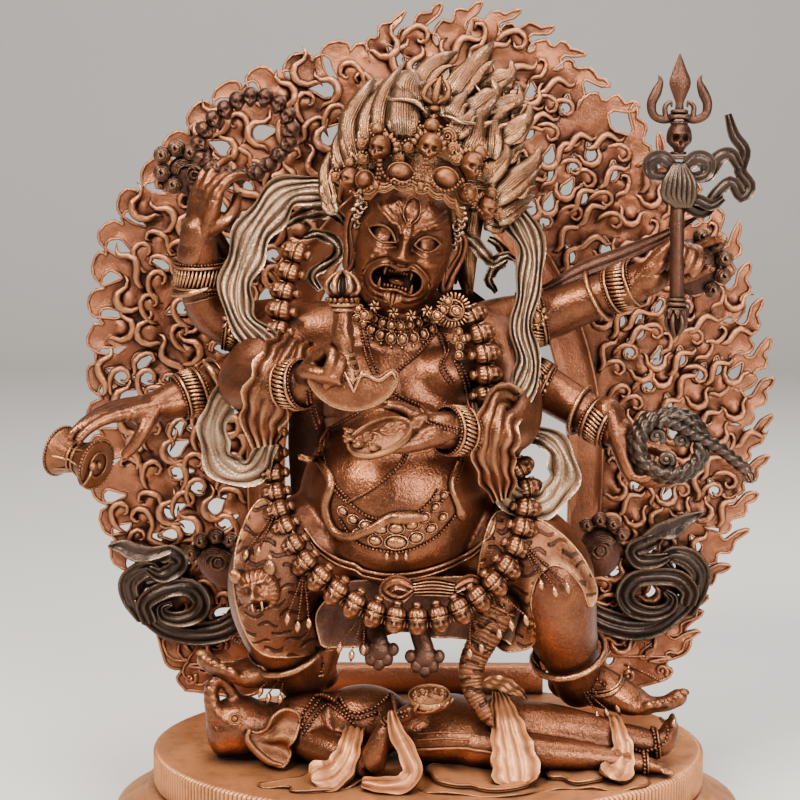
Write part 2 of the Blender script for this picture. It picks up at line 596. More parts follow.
# Curled tips side by side along a line, each a little different
def tipEdge(line, mirror):
    path = level(line, 400)
    total = np.linalg.norm(np.diff(path, axis=0), axis=1).sum()
    count = int(total / 13.0)
    points = []
    for k in range(count):
        at = path[int(399 * k / count)]
        ahead = unit(path[min(int(399 * (k + 1) / count), 399)] - at)
        out = np.array([-ahead[1], ahead[0]]) * mirror
        grow = total / count / 9.0 * np.array([1.0, chance.uniform(0.8, 1.15)])
        for a, o in (curlShape if at[0] < -25 else tipShape):
            a, o = a * grow[0] + 0.5 * math.sin(2.3 * k + o), o * grow[1] - (0.8 if o > -1 else 0) * chance.random()
            points.append(at + ahead * a + out * o)
    return points


def flow(p):
    # which way the flames blow: up on the left, up and to the right over the top and on the right
    share = ease(p[0], -60, 20)
    return (1 - share) * 1.95 + share * 0.55 + 0.35 * math.sin(p[0] / 17 + p[1] / 23)


def makePlate():
    edge = np.array(tipEdge(tipLines["left"], 1) + tipEdge(tipLines["right"], -1)[::-1])
    edge = level(edge, 1500, True)
    edge = np.clip(edge, [-119.6, 1.2], [121.8, 243.0])
    opening = eggPoint(np.linspace(-1, 1, 90), aureole["band"] * 0.5 / 57.0)
    opening[:, 1] = np.maximum(opening[:, 1], 3.0)
    outerRing = eggPoint(np.linspace(-1, 1, 90), aureole["band"] / 57.0)
    # places for strokes: as many as fit at their spacing, clear of the edge and the ring
    tries = chance.uniform([-118, 4], [119, 236], (9000, 2))
    tries = tries[insideOf(tries, edge) & ~insideOf(tries, outerRing)]
    tries = tries[(distanceTo(tries, edge[::6], True) > 4.2) & (distanceTo(tries, outerRing) > 3.4)]
    places = []
    for p in tries:
        size = 1.45 if p[0] < 30 and p[1] > 60 else 1.15
        gap = aureole["spacing"] * (0.35 + 0.5 * size)
        if all((p[0] - q[0]) ** 2 + (p[1] - q[1]) ** 2 > gap * gap for q in places):
            places.append((p[0], p[1], size))
    places = np.array(places)
    strokes, holes, knobs = [], [], []
    for k, (x, z, size) in enumerate(places):
        turn = flow((x, z)) + chance.uniform(-0.45, 0.45)
        ahead = np.array([math.cos(turn), math.sin(turn)])
        aside = np.array([-ahead[1], ahead[0]]) * (1 if x > -20 or k % 3 else -1)
        kinds = ("comma", "cup", "comma", "hook", "cup", "wave") if x < -20 else ("wave", "cup", "comma", "hook", "wave", "cup")
        kind = kinds[int(chance.integers(6))]
        shape = np.array(strokeShapes[kind])
        line = [(x, z) + size * (a * ahead + b * aside) for a, b, _ in shape]
        strokes.append(level(np.column_stack([line, shape[:, 2] * size ** 0.7 * 1.28]), 17))
        if chance.random() < aureole["holes"]:
            drop = [(x, z) + size * (a * ahead + b * aside) for a, b in
                    ((-1.7, -0.9), (0.2, -1.9), (2.0, -1.0), (2.6, 1.2), (2.3, 4.2), (0.7, 2.8), (-1.4, 1.2))]
            holes.append(level(drop, 18, True))
        elif kind in ("cup", "comma", "hook"):
            spot = (x, z) + size * (0.1 * ahead + (0.2 if kind == "cup" else 0.8) * aside)
            knobs.append((*spot, size * chance.uniform(0.9, 1.5)))
    holes = [hole for hole in holes if distanceTo(hole, edge[::4], True).min() > 1.2
             and distanceTo(hole, opening, True).min() > 1.2]
    # the net of points over the face, held to the outline and the holes
    net = aureole["net"]
    gx, gz = np.meshgrid(np.arange(-121, 122, net), np.arange(1, 244, net * 0.87))
    gx = gx + (np.arange(gx.shape[0]) % 2)[:, None] * net / 2
    inner = np.stack([gx.ravel(), gz.ravel()], 1)
    inner = inner[insideOf(inner, edge) & ~insideOf(inner, opening)]
    inner = inner[(distanceTo(inner, edge[::3], True) > 0.6) & (distanceTo(inner, opening, True) > 0.7)]
    for hole in holes:
        near = np.abs(inner - hole.mean(0)).max(1) < 7
        keep = np.ones(len(inner), bool)
        keep[near] = ~insideOf(inner[near], hole) & (distanceTo(inner[near], hole, True) > 0.5)
        inner = inner[keep]
    loops = [edge, opening, *holes]
    flatPoints = np.vstack([*loops, inner])
    edges, rings, start = [], [], 0
    for loop in loops:
        count = len(loop)
        ring = start + np.arange(count)
        rings.append(ring)
        edges += [(int(i), int(j)) for i, j in zip(ring, np.roll(ring, -1))]
        start += count
    points, _, faces, *_ = delaunay_2d_cdt([Vector(p) for p in flatPoints], edges, [], 0, 1e-5)
    points = np.array([tuple(p) for p in points])
    faces = np.array([list(f) for f in faces if len(f) == 3])
    middle = points[faces].mean(1)
    keep = insideOf(middle, edge) & ~insideOf(middle, opening)
    for hole in holes:
        near = np.abs(middle - hole.mean(0)).max(1) < 7
        keep[near] &= ~insideOf(middle[near], hole)
    faces = faces[keep]
    # the face: soft swellings, each stroke's upper side standing above its lower side, knobs, a rolled edge
    rise = 0.35 * np.sin(points[:, 0] / 5.1 + 1.3 * np.sin(points[:, 1] / 7)) * np.sin(points[:, 1] / 4.3)
    for stroke in strokes:
        near = np.abs(points - stroke[:, :2].mean(0)).max(1) < 11
        p = points[near]
        away = distanceTo(p, stroke[:, :2])
        nearest = stroke[np.argmin(((p[:, None] - stroke[None, :, :2]) ** 2).sum(2), 1)]
        step = np.gradient(stroke[:, :2], axis=0)[np.argmin(((p[:, None] - stroke[None, :, :2]) ** 2).sum(2), 1)]
        side = np.sign(step[:, 0] * (p - nearest[:, :2])[:, 1] - step[:, 1] * (p - nearest[:, :2])[:, 0])
        rise[near] += np.where(side < 0, 0.95 * np.exp(-away / 2.2), -0.75 * np.exp(-away / 1.7))
    for x, z, size in knobs:
        rise += 1.1 * size * np.exp(-(((points - (x, z)) / (size * 1.25)) ** 2).sum(1) ** 1.5)
    rim = distanceTo(points, edge[::2], True)
    rise += 0.5 * np.exp(-(rim / 1.6) ** 2)
    front = np.maximum(aureole["front"] - rise, 50.6)
    face = np.column_stack([points[:, 0], front, points[:, 1]])
    rear = np.column_stack([points[:, 0], np.full(len(points), aureole["back"]), points[:, 1]])
    a, b, c = (face[faces[:, i]] for i in range(3))
    turned = np.cross(b - a, c - a)[:, 1] > 0
    faces[turned] = faces[turned][:, ::-1]
    # walls close every open edge between the face and the back
    pairs = np.vstack([faces[:, [0, 1]], faces[:, [1, 2]], faces[:, [2, 0]]]).astype(np.int64)
    key, back = pairs[:, 0] * len(points) + pairs[:, 1], pairs[:, 1] * len(points) + pairs[:, 0]
    open_ = pairs[~np.isin(key, back)]
    n = len(points)
    walls = np.stack([open_[:, 1], open_[:, 0], open_[:, 0] + n, open_[:, 1] + n], 1)
    plate = Shape().add(np.vstack([face, rear]), faces, faces[:, ::-1] + n, walls, outward=False)
    wires = Shape()
    for stroke in strokes:
        path = np.column_stack([stroke[:, 0], aureole["front"] - 0.55 - 0.5 * stroke[:, 2], stroke[:, 1]])
        wires.tube(path, stroke[:, 2] * 0.85, stroke[:, 2] * 1.1, 6, ("flat", "flat"), hint=(0, 1, 0))
    # the edge's own rim, left out where the outline crosses the opening
    clear = ~insideOf(edge, outerRing)
    start = int(np.argmax(~clear & np.roll(clear, -1))) + 1
    rim = np.roll(edge, -start, axis=0)[:int(clear.sum())]
    path = np.column_stack([rim[:, 0], np.full(len(rim), aureole["front"] - 0.55), rim[:, 1]])
    wires.tube(path, 0.55, 0.6, 5, ("flat", "flat"), hint=(0, 1, 0))
    for hole in holes:
        path = np.column_stack([hole[:, 0], np.full(len(hole), aureole["front"] - 0.5), hole[:, 1]])
        wires.tube(path, 0.5, 0.55, 5, closed=True, hint=(0, 1, 0))
    print("strokes", len(strokes), "holes", len(holes))
    return plate, wires


def makeRing():
    # a flat band with rounded lips, carried along the opening, and a bar between its feet
    turn = np.linspace(-1.0, 1.0, 120)
    inner, outer = eggPoint(turn, 0.0), eggPoint(turn, aureole["band"] / 57.0)
    inner[:, 1] = np.maximum(inner[:, 1], 1.2)
    outer[:, 1] = np.maximum(outer[:, 1], 1.2)
    share = np.array([0, 0.0, 0.03, 0.07, 0.12, 0.3, 0.5, 0.7, 0.88, 0.93, 0.97, 1.0, 1.0])
    y = np.array([54.6, 50.4, 49.95, 49.95, 50.6, 50.5, 50.45, 50.5, 50.6, 49.95, 49.95, 50.4, 54.6])
    flat = inner[:, None] * (1 - share)[None, :, None] + outer[:, None] * share[None, :, None]
    g = np.stack([flat[..., 0], np.broadcast_to(y, flat.shape[:2]), flat[..., 1]], -1)
    shape = Shape().grid(g, ("flat", "flat"))
    foot = eggPoint(1.0, 0.0)
    x = np.linspace(-foot[0] - 8, foot[0] + 8, 24)
    section = np.array([[54.4, 0.5], [50.3, 0.5], [49.95, 1.0], [49.95, 8.6], [50.4, 9.6], [51.2, 10.4],
                        [54.4, 10.6]])
    g = np.stack([x[:, None] + 0 * section[None, :, 0], np.broadcast_to(section[:, 0], (24, 7)),
                  np.broadcast_to(section[:, 1], (24, 7))], -1)
    return shape.grid(g, ("flat", "flat"))


flames, flameRims = makePlate()
print("flames", flames.triangles(), "rims", flameRims.triangles())
piece("aureole_flames", flames, finishes["pale"], ["flame_aureole"], sharp=70, keep=0.7)
piece("aureole_rims", flameRims, finishes["pale"], ["flame_aureole"], sharp=180, keep=0.5)
piece("aureole_ring", makeRing(), finishes["pale"], ["flame_aureole"], sharp=50)
print("aureole ready")


# The guardian's body: limbs are paths with radii (x, y, z, radius), grown together into one skin
body = {
    "blobs": [  # middle, reach in x, y, z
        ((-11.0, -5.0, 84.0), (30.5, 27.5, 26.5)),
        ((-11.0, -12.0, 76.0), (25.0, 21.0, 20.0)),
        ((-9.5, 0.0, 111.0), (25.0, 18.0, 24.0)),
        ((-22.0, -5.0, 121.5), (12.5, 11.5, 10.0)),
        ((3.5, -5.0, 122.0), (12.5, 11.5, 10.0)),
        ((-9.5, 4.0, 133.0), (27.0, 12.0, 9.5)),
        ((-5.6, 3.0, 57.0), (33.0, 19.0, 18.0)),
    ],
    "legs": [
        [(-22, 4, 66, 17), (-36, -8, 68.5, 16.5), (-47, -17, 64.5, 14.6), (-50.5, -19.5, 56, 13.2),
         (-48.6, -16, 44, 12.4), (-44, -9, 31.5, 10.6), (-41, -5, 23.5, 8.6)],
        [(9, 4, 64, 17), (26, -7, 67.5, 16), (37, -17, 63, 13.8), (39.8, -19, 55, 12.6),
         (41.6, -16, 44, 12.2), (46.0, -10, 31, 9.4), (48.6, -6, 21.5, 7.8)],
    ],
    "neck": [(-9, 3, 128, 13), (-9.5, 0, 141, 10.5), (-9, -3, 152, 10)],
    "arms": [
        [(-30, 5, 135, 10.5), (-45.4, 4, 133, 9.5), (-53.5, -6, 127, 9), (-57.5, -19, 121, 8.6),
         (-49, -28.5, 121.6, 7.8), (-41, -33.5, 122.8, 6.6), (-35, -37, 123.8, 5.8)],
        [(10, 5, 134, 10.5), (21.5, 4, 130.5, 9.5), (25.5, -5, 119.5, 9), (25.5, -18, 108.5, 8.6),
         (16, -27, 107.8, 7.8), (8, -32.5, 108.8, 6.5), (1.8, -36.5, 109.8, 5.6)],
        [(-33, 10, 135, 9), (-47, 11, 136.4, 8.6), (-61, 14, 136.2, 8), (-70.6, 14, 140.5, 8),
         (-73.8, 11, 151, 7.8), (-74.4, 8, 160, 6.6), (-74.3, 6, 167, 5.7)],
        [(12, 10, 134, 9), (24, 11, 137, 8.6), (38, 12, 139.8, 8), (54, 8, 146.3, 7.4), (64, 3.5, 150.6, 6.4),
         (70, 0, 153, 5.6)],
        [(-31, 12, 127, 9), (-46, 12, 125, 8.2), (-60, 10, 121.4, 7.6), (-73, 2.5, 116.8, 7),
         (-80.5, -2, 114.2, 6.2), (-85.5, -5, 112.4, 5.5)],
        [(10, 12, 127, 9), (24, 12, 122.4, 8.2), (38, 9.5, 116, 7.6), (51, 2.5, 108.8, 7), (56.5, -1.5, 105.6, 6.2),
         (60, -4, 103.8, 5.5)],
    ],
    "cell": 1.05, "rounds": 9,
}


def makeBody():
    clay = Shape()
    for middle, reach in body["blobs"]:
        clay.copies(egg(24, 12), [middle], sizes=[reach])
    for limb in [*body["legs"], body["neck"], *body["arms"]]:
        path = curve(limb, 36)
        bulge = 1 + 0.05 * np.sin(np.linspace(0, 1, 36) * 2 * math.pi)
        clay.tube(path, path[:, 3] * bulge, path[:, 3] * bulge, 20)
    skin = fused(clay, body["cell"], body["rounds"])
    return carved(skin, bodyRelief)


def bodyRelief(p):
    # a navel, the fold under the breast, the arch of the ribs, and the hollow between the shin's muscles
    rise = -2.4 * hill(p, (-12.5, -33, 80.5), (1.7, 9, 1.5)) + 0.5 * hill(p, (-12.5, -33, 80.5), (3.6, 9, 3.4))
    front = ease(-p[:, 1], 2, 12)
    fold = np.abs(p[:, 2] - (112.5 - 0.012 * (p[:, 0] + 9.5) ** 2 + 2.5 * np.cos((p[:, 0] + 9.5) / 8)))
    rise -= 0.7 * np.exp(-(fold / 1.1) ** 2) * front * hill(p[:, :1], (-9.5,), (22,))
    rise -= 0.6 * hill(p, (-9.5, -17, 121), (1.6, 12, 9)) * front
    return rise


# A foot: sole and instep in one, five toes that curl up, nails on them
def makeFoot(heel, ball, tip, width, mirror):
    heel, ball, tip = (np.asarray(p, float) for p in (heel, ball, tip))
    ahead = unit(ball - heel)
    upright = unit(np.array([0, 0, 1.0]) - ahead[2] * ahead)
    aside = np.cross(ahead, upright) * mirror     # towards the big toe
    length = np.linalg.norm(ball - heel)

    def put(f, a, u):
        return heel + ahead * f * length + aside * a * width + upright * u

    clay = Shape()
    back = curve([[*put(f, a, u), across, deep] for f, a, u, across, deep in (
        (0.02, 0.0, 5.6, 5.0, 5.2), (0.22, 0.0, 7.0, 5.8, 7.0), (0.48, 0.02, 7.0, 6.0, 7.0),
        (0.74, 0.03, 5.7, 6.5, 5.8), (0.98, 0.04, 4.5, 6.9, 4.4), (1.08, 0.04, 4.2, 5.9, 3.2))], 24)
    clay.tube(back, back[:, 3] * width / 12, back[:, 4], 18, hint=upright)
    clay.tube(curve([[*put(0.18, 0, 6)], [*put(0.12, 0, 12)], [*put(0.1, 0, 17)]], 8), 6.6, 7.0, 16)
    curlUp = (tip - ball) @ upright
    nails = Shape()
    for k, (a, f, radius, size) in enumerate(((0.36, 1.06, 2.8, 1.0), (0.15, 1.08, 2.0, 0.82),
                                             (-0.02, 1.06, 1.85, 0.76), (-0.18, 1.02, 1.7, 0.7),
                                             (-0.33, 0.97, 1.55, 0.62))):
        reach = np.linalg.norm(tip - ball) * size
        rise = max(curlUp, 3.0) * size
        toe = curve([[*put(f - 0.16, a * 0.9, 3.2), radius], [*put(f, a, 3.2), radius],
                     [*(put(f, a, 3.4) + ahead * reach * 0.45 + upright * rise * 0.12), radius * 0.95],
                     [*(put(f, a * 1.03, 3.6) + ahead * reach * 0.78 + upright * rise * 0.42), radius * 1.05]], 12)
        clay.tube(toe, toe[:, 3], toe[:, 3], 10, hint=upright)
        end = toe[-1, :3]
        nails.copies(egg(8, 4), [end + ahead * radius * 0.55 + upright * radius * 0.75],
                     [np.stack([aside, ahead, upright], 1)], [[radius * 0.62, radius * 0.7, radius * 0.4]])
    skin = fused(clay, 0.62, 5)
    return skin, nails


# A hand, drawn in its own axes: thumb side, fingers, palm. Each finger has a spread, three bends towards
# the palm and its own sideways lean.
fingerBones = {"length": (14.5, 16.0, 15.0, 12.0), "radius": (1.85, 1.95, 1.8, 1.6), "at": (4.6, 1.6, -1.5, -4.4)}


def makeHand(wrist, fingersTo, palmTo, size, bends, thumb, side, spread=0.06, cell=0.55, nails=None):
    wrist = np.asarray(wrist, float)
    ahead = unit(np.asarray(fingersTo, float))
    palm = np.asarray(palmTo, float)
    palm = unit(palm - (palm @ ahead) * ahead)
    thumbTo = np.cross(ahead, palm) * side

    def put(a, f, p):
        return wrist + size * (thumbTo * a + ahead * f + palm * p)

    clay = Shape()
    for a0, a1 in ((4.0, 4.4), (1.4, 1.5), (-1.3, -1.5), (-3.9, -4.2)):
        bone = curve([[*put(a0 * 0.6, -2, 0), 3.1], [*put(a0 * 0.85, 5, -0.2), 2.9], [*put(a1, 11.5, -0.3), 2.6],
                      [*put(a1, 15, -0.2), 2.1]], 12)
        clay.tube(bone, bone[:, 3] * size, bone[:, 3] * size * 1.05, 10)
    clay.copies(egg(12, 6), [put(3.6, 5.0, 1.8)], [np.stack([thumbTo, ahead, palm], 1)],
                [[size * 3.2, size * 5.2, size * 2.9]])
    clay.copies(egg(12, 6), [put(-3.2, 4.5, 1.6)], [np.stack([thumbTo, ahead, palm], 1)],
                [[size * 2.6, size * 5.4, size * 2.5]])
    clay.tube(curve([[*put(0, -7, 0), 5.4], [*put(0, -2, 0), 5.2], [*put(0, 2, 0), 5.4]], 8)[:, :3],
              5.6 * size, 4.6 * size, 16, hint=palm)
    tips = []
    for k in range(4):
        length, radius, at = (fingerBones[key][k] for key in ("length", "radius", "at"))
        lean = at * spread * 0.5
        spot, way = put(at, 13.0, -0.3), unit(ahead + thumbTo * lean)
        bend, path = 0.0, [[*spot, radius]]
        for share, turn in zip((0.12, 0.34, 0.30, 0.24), (0.0, *bends[k])):
            bend += turn
            step = unit(way * math.cos(bend) + palm * math.sin(bend))
            spot = spot + step * length * share * size
            path.append([*spot, radius * (1.02 - 0.22 * (len(path) / 4))])
        finger = curve(path, 22)
        knuckle = 1 + 0.07 * np.cos(np.linspace(0, 1, 22) * 6 * math.pi) * np.linspace(1, 0, 22)
        clay.tube(finger, finger[:, 3] * size * knuckle, finger[:, 3] * size * knuckle, 10)
        tips.append((finger[-1, :3], unit(finger[-1, :3] - finger[-3, :3]), radius * size * 0.8))
    path = [[*(put(*point)), radius] for point, radius in zip(thumb, (2.6, 2.4, 2.1, 1.75))]
    finger = curve(path, 16)
    clay.tube(finger, finger[:, 3] * size, finger[:, 3] * size, 10)
    tips.append((finger[-1, :3], unit(finger[-1, :3] - finger[-3, :3]), 1.8 * size))
    if nails is not None:
        for spot, way, radius in tips:
            back = unit(np.cross(way, thumbTo) * side * -1)
            nails.copies(egg(8, 4), [spot + way * radius * 0.55 + back * radius * 0.5],
                         [np.stack([np.cross(back, way), way, back], 1)],
                         [[radius * 0.6, radius * 0.9, radius * 0.35]])
    return fused(clay, cell * size, 4)


thumbStraight = ((4.2, 3, 1), (7.5, 7, 2.5), (8.6, 11, 3.6), (8.4, 14.5, 4.2))
thumbAcross = ((4.2, 3, 1), (6.8, 7, 4.5), (4.6, 10.5, 7.5), (1.5, 12.5, 8.6))
hands = {
    # raised, turned to the aureole; thumb and forefinger close on the rosary
    "rosary": dict(wrist=(-74.3, 6, 166), fingersTo=(0.28, -0.05, 1.0), palmTo=(0.75, 0.9, -0.2), size=1.0,
                   bends=((0.35, 0.7, 0.5), (0.5, 0.9, 0.5), (0.25, 0.4, 0.3), (0.15, 0.35, 0.3)),
                   thumb=((4.2, 3, 1), (6.5, 7, 4.5), (6.2, 11, 7.0), (4.6, 14.5, 8.4)), side=-1),
    # lower left of the picture: laid over the drum
    "drum": dict(wrist=(-85.8, -5, 112.4), fingersTo=(-1.0, -0.42, -0.12), palmTo=(-0.1, 0.1, -1.0), size=1.04,
                 bends=((0.12, 0.25, 0.25), (0.10, 0.22, 0.25), (0.16, 0.3, 0.3), (0.2, 0.35, 0.3)),
                 thumb=((4.2, 3, 1), (6.5, 7, 4.6), (6.6, 10, 8.6), (6.0, 13, 11.5)), side=1),
    # before the breast, round the knife's grip
    "knife": dict(wrist=(-37.6, -35.6, 123.4), fingersTo=(0.70, -0.40, 0.62), palmTo=(0.42, -0.75, -0.2), size=1.0,
                  bends=((1.15, 1.2, 0.6), (1.2, 1.2, 0.6), (1.2, 1.2, 0.6), (1.2, 1.2, 0.6)),
                  thumb=((4.2, 3, 1), (6.6, 7.5, 4.4), (4.6, 11.5, 7.6), (1.0, 13.0, 8.6)), side=-1),
    # before the belly, palm up under the skull cup
    "cup": dict(wrist=(2.6, -36, 109.6), fingersTo=(-1.0, -0.38, -0.16), palmTo=(0.0, -0.35, 1.0), size=1.0,
                bends=((0.05, 0.15, 0.2), (0.05, 0.12, 0.2), (0.08, 0.15, 0.2), (0.12, 0.2, 0.2)),
                thumb=((4.2, 3, 1), (7.0, 6.5, 3.5), (8.0, 10, 6.0), (8.2, 13.5, 7.4)), side=1),
    # upper right: round the staff, forefinger and thumb out
    "staff": dict(wrist=(68.6, 0.6, 152.6), fingersTo=(0.72, -0.16, 0.68), palmTo=(0.55, -0.75, -0.5), size=0.98,
                  bends=((0.1, 0.25, 0.3), (0.9, 1.2, 0.7), (1.1, 1.2, 0.7), (1.2, 1.2, 0.7)),
                  thumb=((4.2, 3, 1), (7.6, 7, 2.6), (9.0, 11.5, 4.6), (8.8, 16.5, 6.8)), side=1),
    # lower right: hanging down, fingers curled under the noose
    "noose": dict(wrist=(59.4, -3.6, 104.2), fingersTo=(0.42, -0.2, -1.0), palmTo=(0.95, -0.3, 0.4), size=0.98,
                  bends=((0.45, 0.6, 0.3), (0.6, 0.8, 0.4), (0.75, 0.8, 0.4), (0.85, 0.8, 0.4)),
                  thumb=((4.2, 3, 1), (6.5, 7, 4.2), (6.2, 10, 7.8), (5.4, 12.5, 10.5)), side=-1),
}
nails = Shape()
bodySkin = makeBody()
print("body skin", bodySkin.triangles())
piece("body", bodySkin, finishes["warm"], ["mahakala_figure"], sharp=180, keep=0.5)
fists = Shape()
for name, pose in hands.items():
    fists.join(makeHand(nails=nails, **pose))
feet = Shape()
footPoses = [((-34.5, -3.5, 18.2), (-60, -15.5, 23.2), (-66.5, -18.5, 33.5), 12.0, 1),
             ((43.0, -2.5, 15.6), (66, -14.5, 13.8), (75.0, -19, 23), 12.0, -1)]
for pose in footPoses:
    foot, toeNails = makeFoot(*pose)
    feet.join(foot)
    nails.join(toeNails)
print("hands", fists.triangles(), "feet", feet.triangles())
piece("hands", fists, finishes["warm"], sharp=180, keep=0.42)
piece("feet", feet, finishes["warm"], sharp=180, keep=0.55)
piece("nails", nails, finishes["gold"], sharp=180)
print("body ready")


# The head is drawn in its own axes: a to the viewer's right, f forwards, v upwards, with the eyes at v = 0
headPose = {"middle": (-7.6, -4.5, 166.9), "roll": 12.5, "nod": 3.0}
roll, nod = math.radians(headPose["roll"]), math.radians(headPose["nod"])
headAxes = np.stack([(math.cos(roll), 0, -math.sin(roll)),
                     (0, -math.cos(nod), -math.sin(nod)),
                     (math.sin(roll) * math.cos(nod), -math.sin(nod), math.cos(roll) * math.cos(nod))], 1)
headAxes = np.linalg.qr(headAxes)[0] * np.sign(np.diag(np.linalg.qr(headAxes)[1]))


def fromHead(p):
    return np.asarray(p, float) @ headAxes.T + headPose["middle"]


def mirrored(points):
    return [(-a, v) for a, v in points]


face = {
    "brow": [(-11.4, 8.2), (-10.2, 7.0), (-8.2, 5.9), (-6.2, 4.5), (-4.2, 3.8), (-2.6, 2.6), (-1.9, 1.6)],
    "lids": {-1: ([(-2.7, -1.9), (-4.7, 0.9), (-7.3, 2.0), (-10.0, 1.5), (-12.1, 0.2)],
                  [(-2.7, -1.9), (-4.9, -2.5), (-7.3, -2.8), (-10.0, -1.7), (-12.1, 0.2)]),
             1: ([(2.8, -1.4), (4.4, 0.9), (6.6, 1.8), (9.0, 1.3), (10.8, 0.1)],
                 [(2.8, -1.4), (4.8, -2.5), (7.0, -2.9), (9.2, -2.0), (10.8, 0.1)])},
    "balls": {-1: (-7.2, -0.4), 1: (6.8, -0.6)},
    "mouth": [(-8.0, -12.4), (-6.6, -10.4), (-4.1, -9.0), (-2.0, -9.3), (0.0, -9.9), (2.0, -9.4), (4.0, -8.9),
              (6.4, -9.9), (7.8, -11.8), (7.8, -14.6), (6.0, -16.8), (3.4, -16.8), (0.6, -16.2), (-3.2, -16.9),
              (-6.4, -16.3), (-7.9, -14.6)],
    "cheekFold": [(-3.2, -6.8), (-6.0, -7.9), (-9.0, -10.4), (-10.4, -13.8), (-9.8, -17.0)],
    "jawFold": [(-9.6, -15.6), (-7.0, -18.6), (-3.0, -19.2), (1.0, -18.8), (5.0, -19.2), (9.0, -16.8), (11.2, -13.6)],
    "frown": [(-1.2, 4.6), (-2.4, 6.4), (-4.6, 9.6)],
}


def flat(points, count=40, closed=False):
    line = curve([(a, 0, v) for a, v in points], count, closed)
    return line[:, [0, 2]]


# How full the head is at height v: an egg with a broad jaw, from crown to chin
def fullness(v):
    fall = np.clip((v + 2.6) / np.where(v > -2.6, 20.2, 22.8), -1, 1)
    return np.sqrt(np.clip(1 - fall ** 2, 1e-4, 1)) ** np.where(v > -2.6, 0.85, 0.66)


# The plain head before its features: how far forwards it is at (a, v)
def plainFace(a, v):
    full = fullness(v)
    return 15.5 * full * np.clip(1 - (a / (14.8 * full)) ** 2, 1e-4, 1) ** 0.42


# The face's relief at (a, v), in mm forwards: hills, ridges along drawn lines, and the open mouth
def faceRelief(a, v):
    p = np.stack([-np.abs(a), v], 1)
    q = np.stack([a, v], 1)
    brow = distanceTo(p, flat(face["brow"]))
    rise = 2.1 * np.exp(-(brow / 1.8) ** 2) + (0.75 + 0.25 * np.cos(2.2 * a)) * np.exp(-(brow / 0.5) ** 2)
    rise += 0.45 * np.exp(-((brow - 1.7) / 0.5) ** 2) * (v > 4.2) * (np.abs(a) > 3.6)
    for side in (-1, 1):
        top, low = (flat(line) for line in face["lids"][side])
        lid = np.minimum(distanceTo(q, top), distanceTo(q, low))
        inEye = insideOf(q, np.vstack([top, low[::-1]]))
        middle = face["balls"][side]
        rise -= 1.9 * hill(q, middle, (4.6, 2.9))
        rise += np.where(inEye, -0.9 * ease(lid, 0.1, 0.6), 0.75 * np.exp(-(lid / 0.8) ** 2))
        ball = 1 - (((q[:, 0] - middle[0]) / 3.0) ** 2 + ((q[:, 1] - middle[1]) / 2.7) ** 2)
        rise += np.where(inEye, 2.5 * np.sqrt(np.clip(ball, 0, 1)), 0)
        rise -= 0.5 * np.exp(-((distanceTo(q, low) - 1.7) / 0.5) ** 2) * (v < -2.6) * (np.abs(a) > 3.4)
    # nose: a narrow bridge with folds across it, a round tip and flared wings
    width = np.interp(v, [-8, -6, -3.5, 0, 4], [2.5, 2.7, 1.6, 1.4, 1.5])
    profile = np.interp(v, [-8.3, -7.5, -6.6, -5.6, -3.5, -1.0, 1.5, 4.2, 6.0],
                        [0, 3.4, 6.4, 7.0, 5.2, 3.4, 2.3, 1.5, 0])
    rise += profile * np.exp(-(np.abs(a) / width) ** 3)
    rise += 0.5 * np.exp(-(a / 1.9) ** 6) * sum(np.exp(-((v - at) / 0.36) ** 2) for at in (0.1, 1.2, 2.7))
    rise += 3.0 * hill(p, (-3.1, -5.9), (1.35, 1.25)) - 1.7 * hill(p, (-1.7, -7.7), (0.7, 0.5))
    rise -= 0.8 * hill(p, (-2.6, -3.6), (0.8, 1.2))
    # cheeks that push up under the eyes, the folds beside the mouth, the lower lip's fold and a round chin
    rise += 3.1 * hill(p, (-8.4, -6.2), (4.0, 3.1)) + 1.3 * hill(p, (-11.0, -12.5), (3.0, 5.5))
    fold = distanceTo(p, flat(face["cheekFold"]))
    rise -= 1.0 * np.exp(-(fold / 0.6) ** 2)
    jaw = distanceTo(q, flat(face["jawFold"]))
    rise += 0.55 * np.exp(-(jaw / 0.5) ** 2) - 0.5 * np.exp(-((jaw - 1.1) / 0.6) ** 2) * (v < -17)
    rise += 2.6 * hill(q, (0.3, -21.8), (5.2, 2.6)) + 1.5 * hill(q, (0, -13), (9.0, 6.0))
    # brow bumps, frown lines, and the third eye upright between them
    rise += 1.5 * hill(p, (-6.0, 9.4), (4.4, 3.2)) - 0.5 * np.exp(-(distanceTo(p, flat(face["frown"])) / 0.5) ** 2)
    third = np.sqrt((a / 2.3) ** 2 + ((v - 8.3) / 3.5) ** 2)
    rise += np.where(third < 1, 1.5 * np.sqrt(np.clip(1 - third ** 2, 0, 1)), 0)
    # the mouth sinks behind its lips
    mouthLine = flat(face["mouth"], 90, True)
    lip = distanceTo(q, mouthLine, True)
    inMouth = insideOf(q, mouthLine)
    return np.where(inMouth, rise * (1 - ease(lip, 0.1, 0.7)) - 6.0 * ease(lip, 0.1, 1.2),
                    rise + 0.9 * np.exp(-(lip / 1.5) ** 2))


def onFace(points, count=50, closed=False, lift=0.1):
    line = flat(points, count, closed)
    lifted = plainFace(line[:, 0], line[:, 1]) + np.maximum(faceRelief(line[:, 0] * 1.001, line[:, 1]), 0.3)
    return np.stack([line[:, 0], lifted + lift, line[:, 1]], 1)


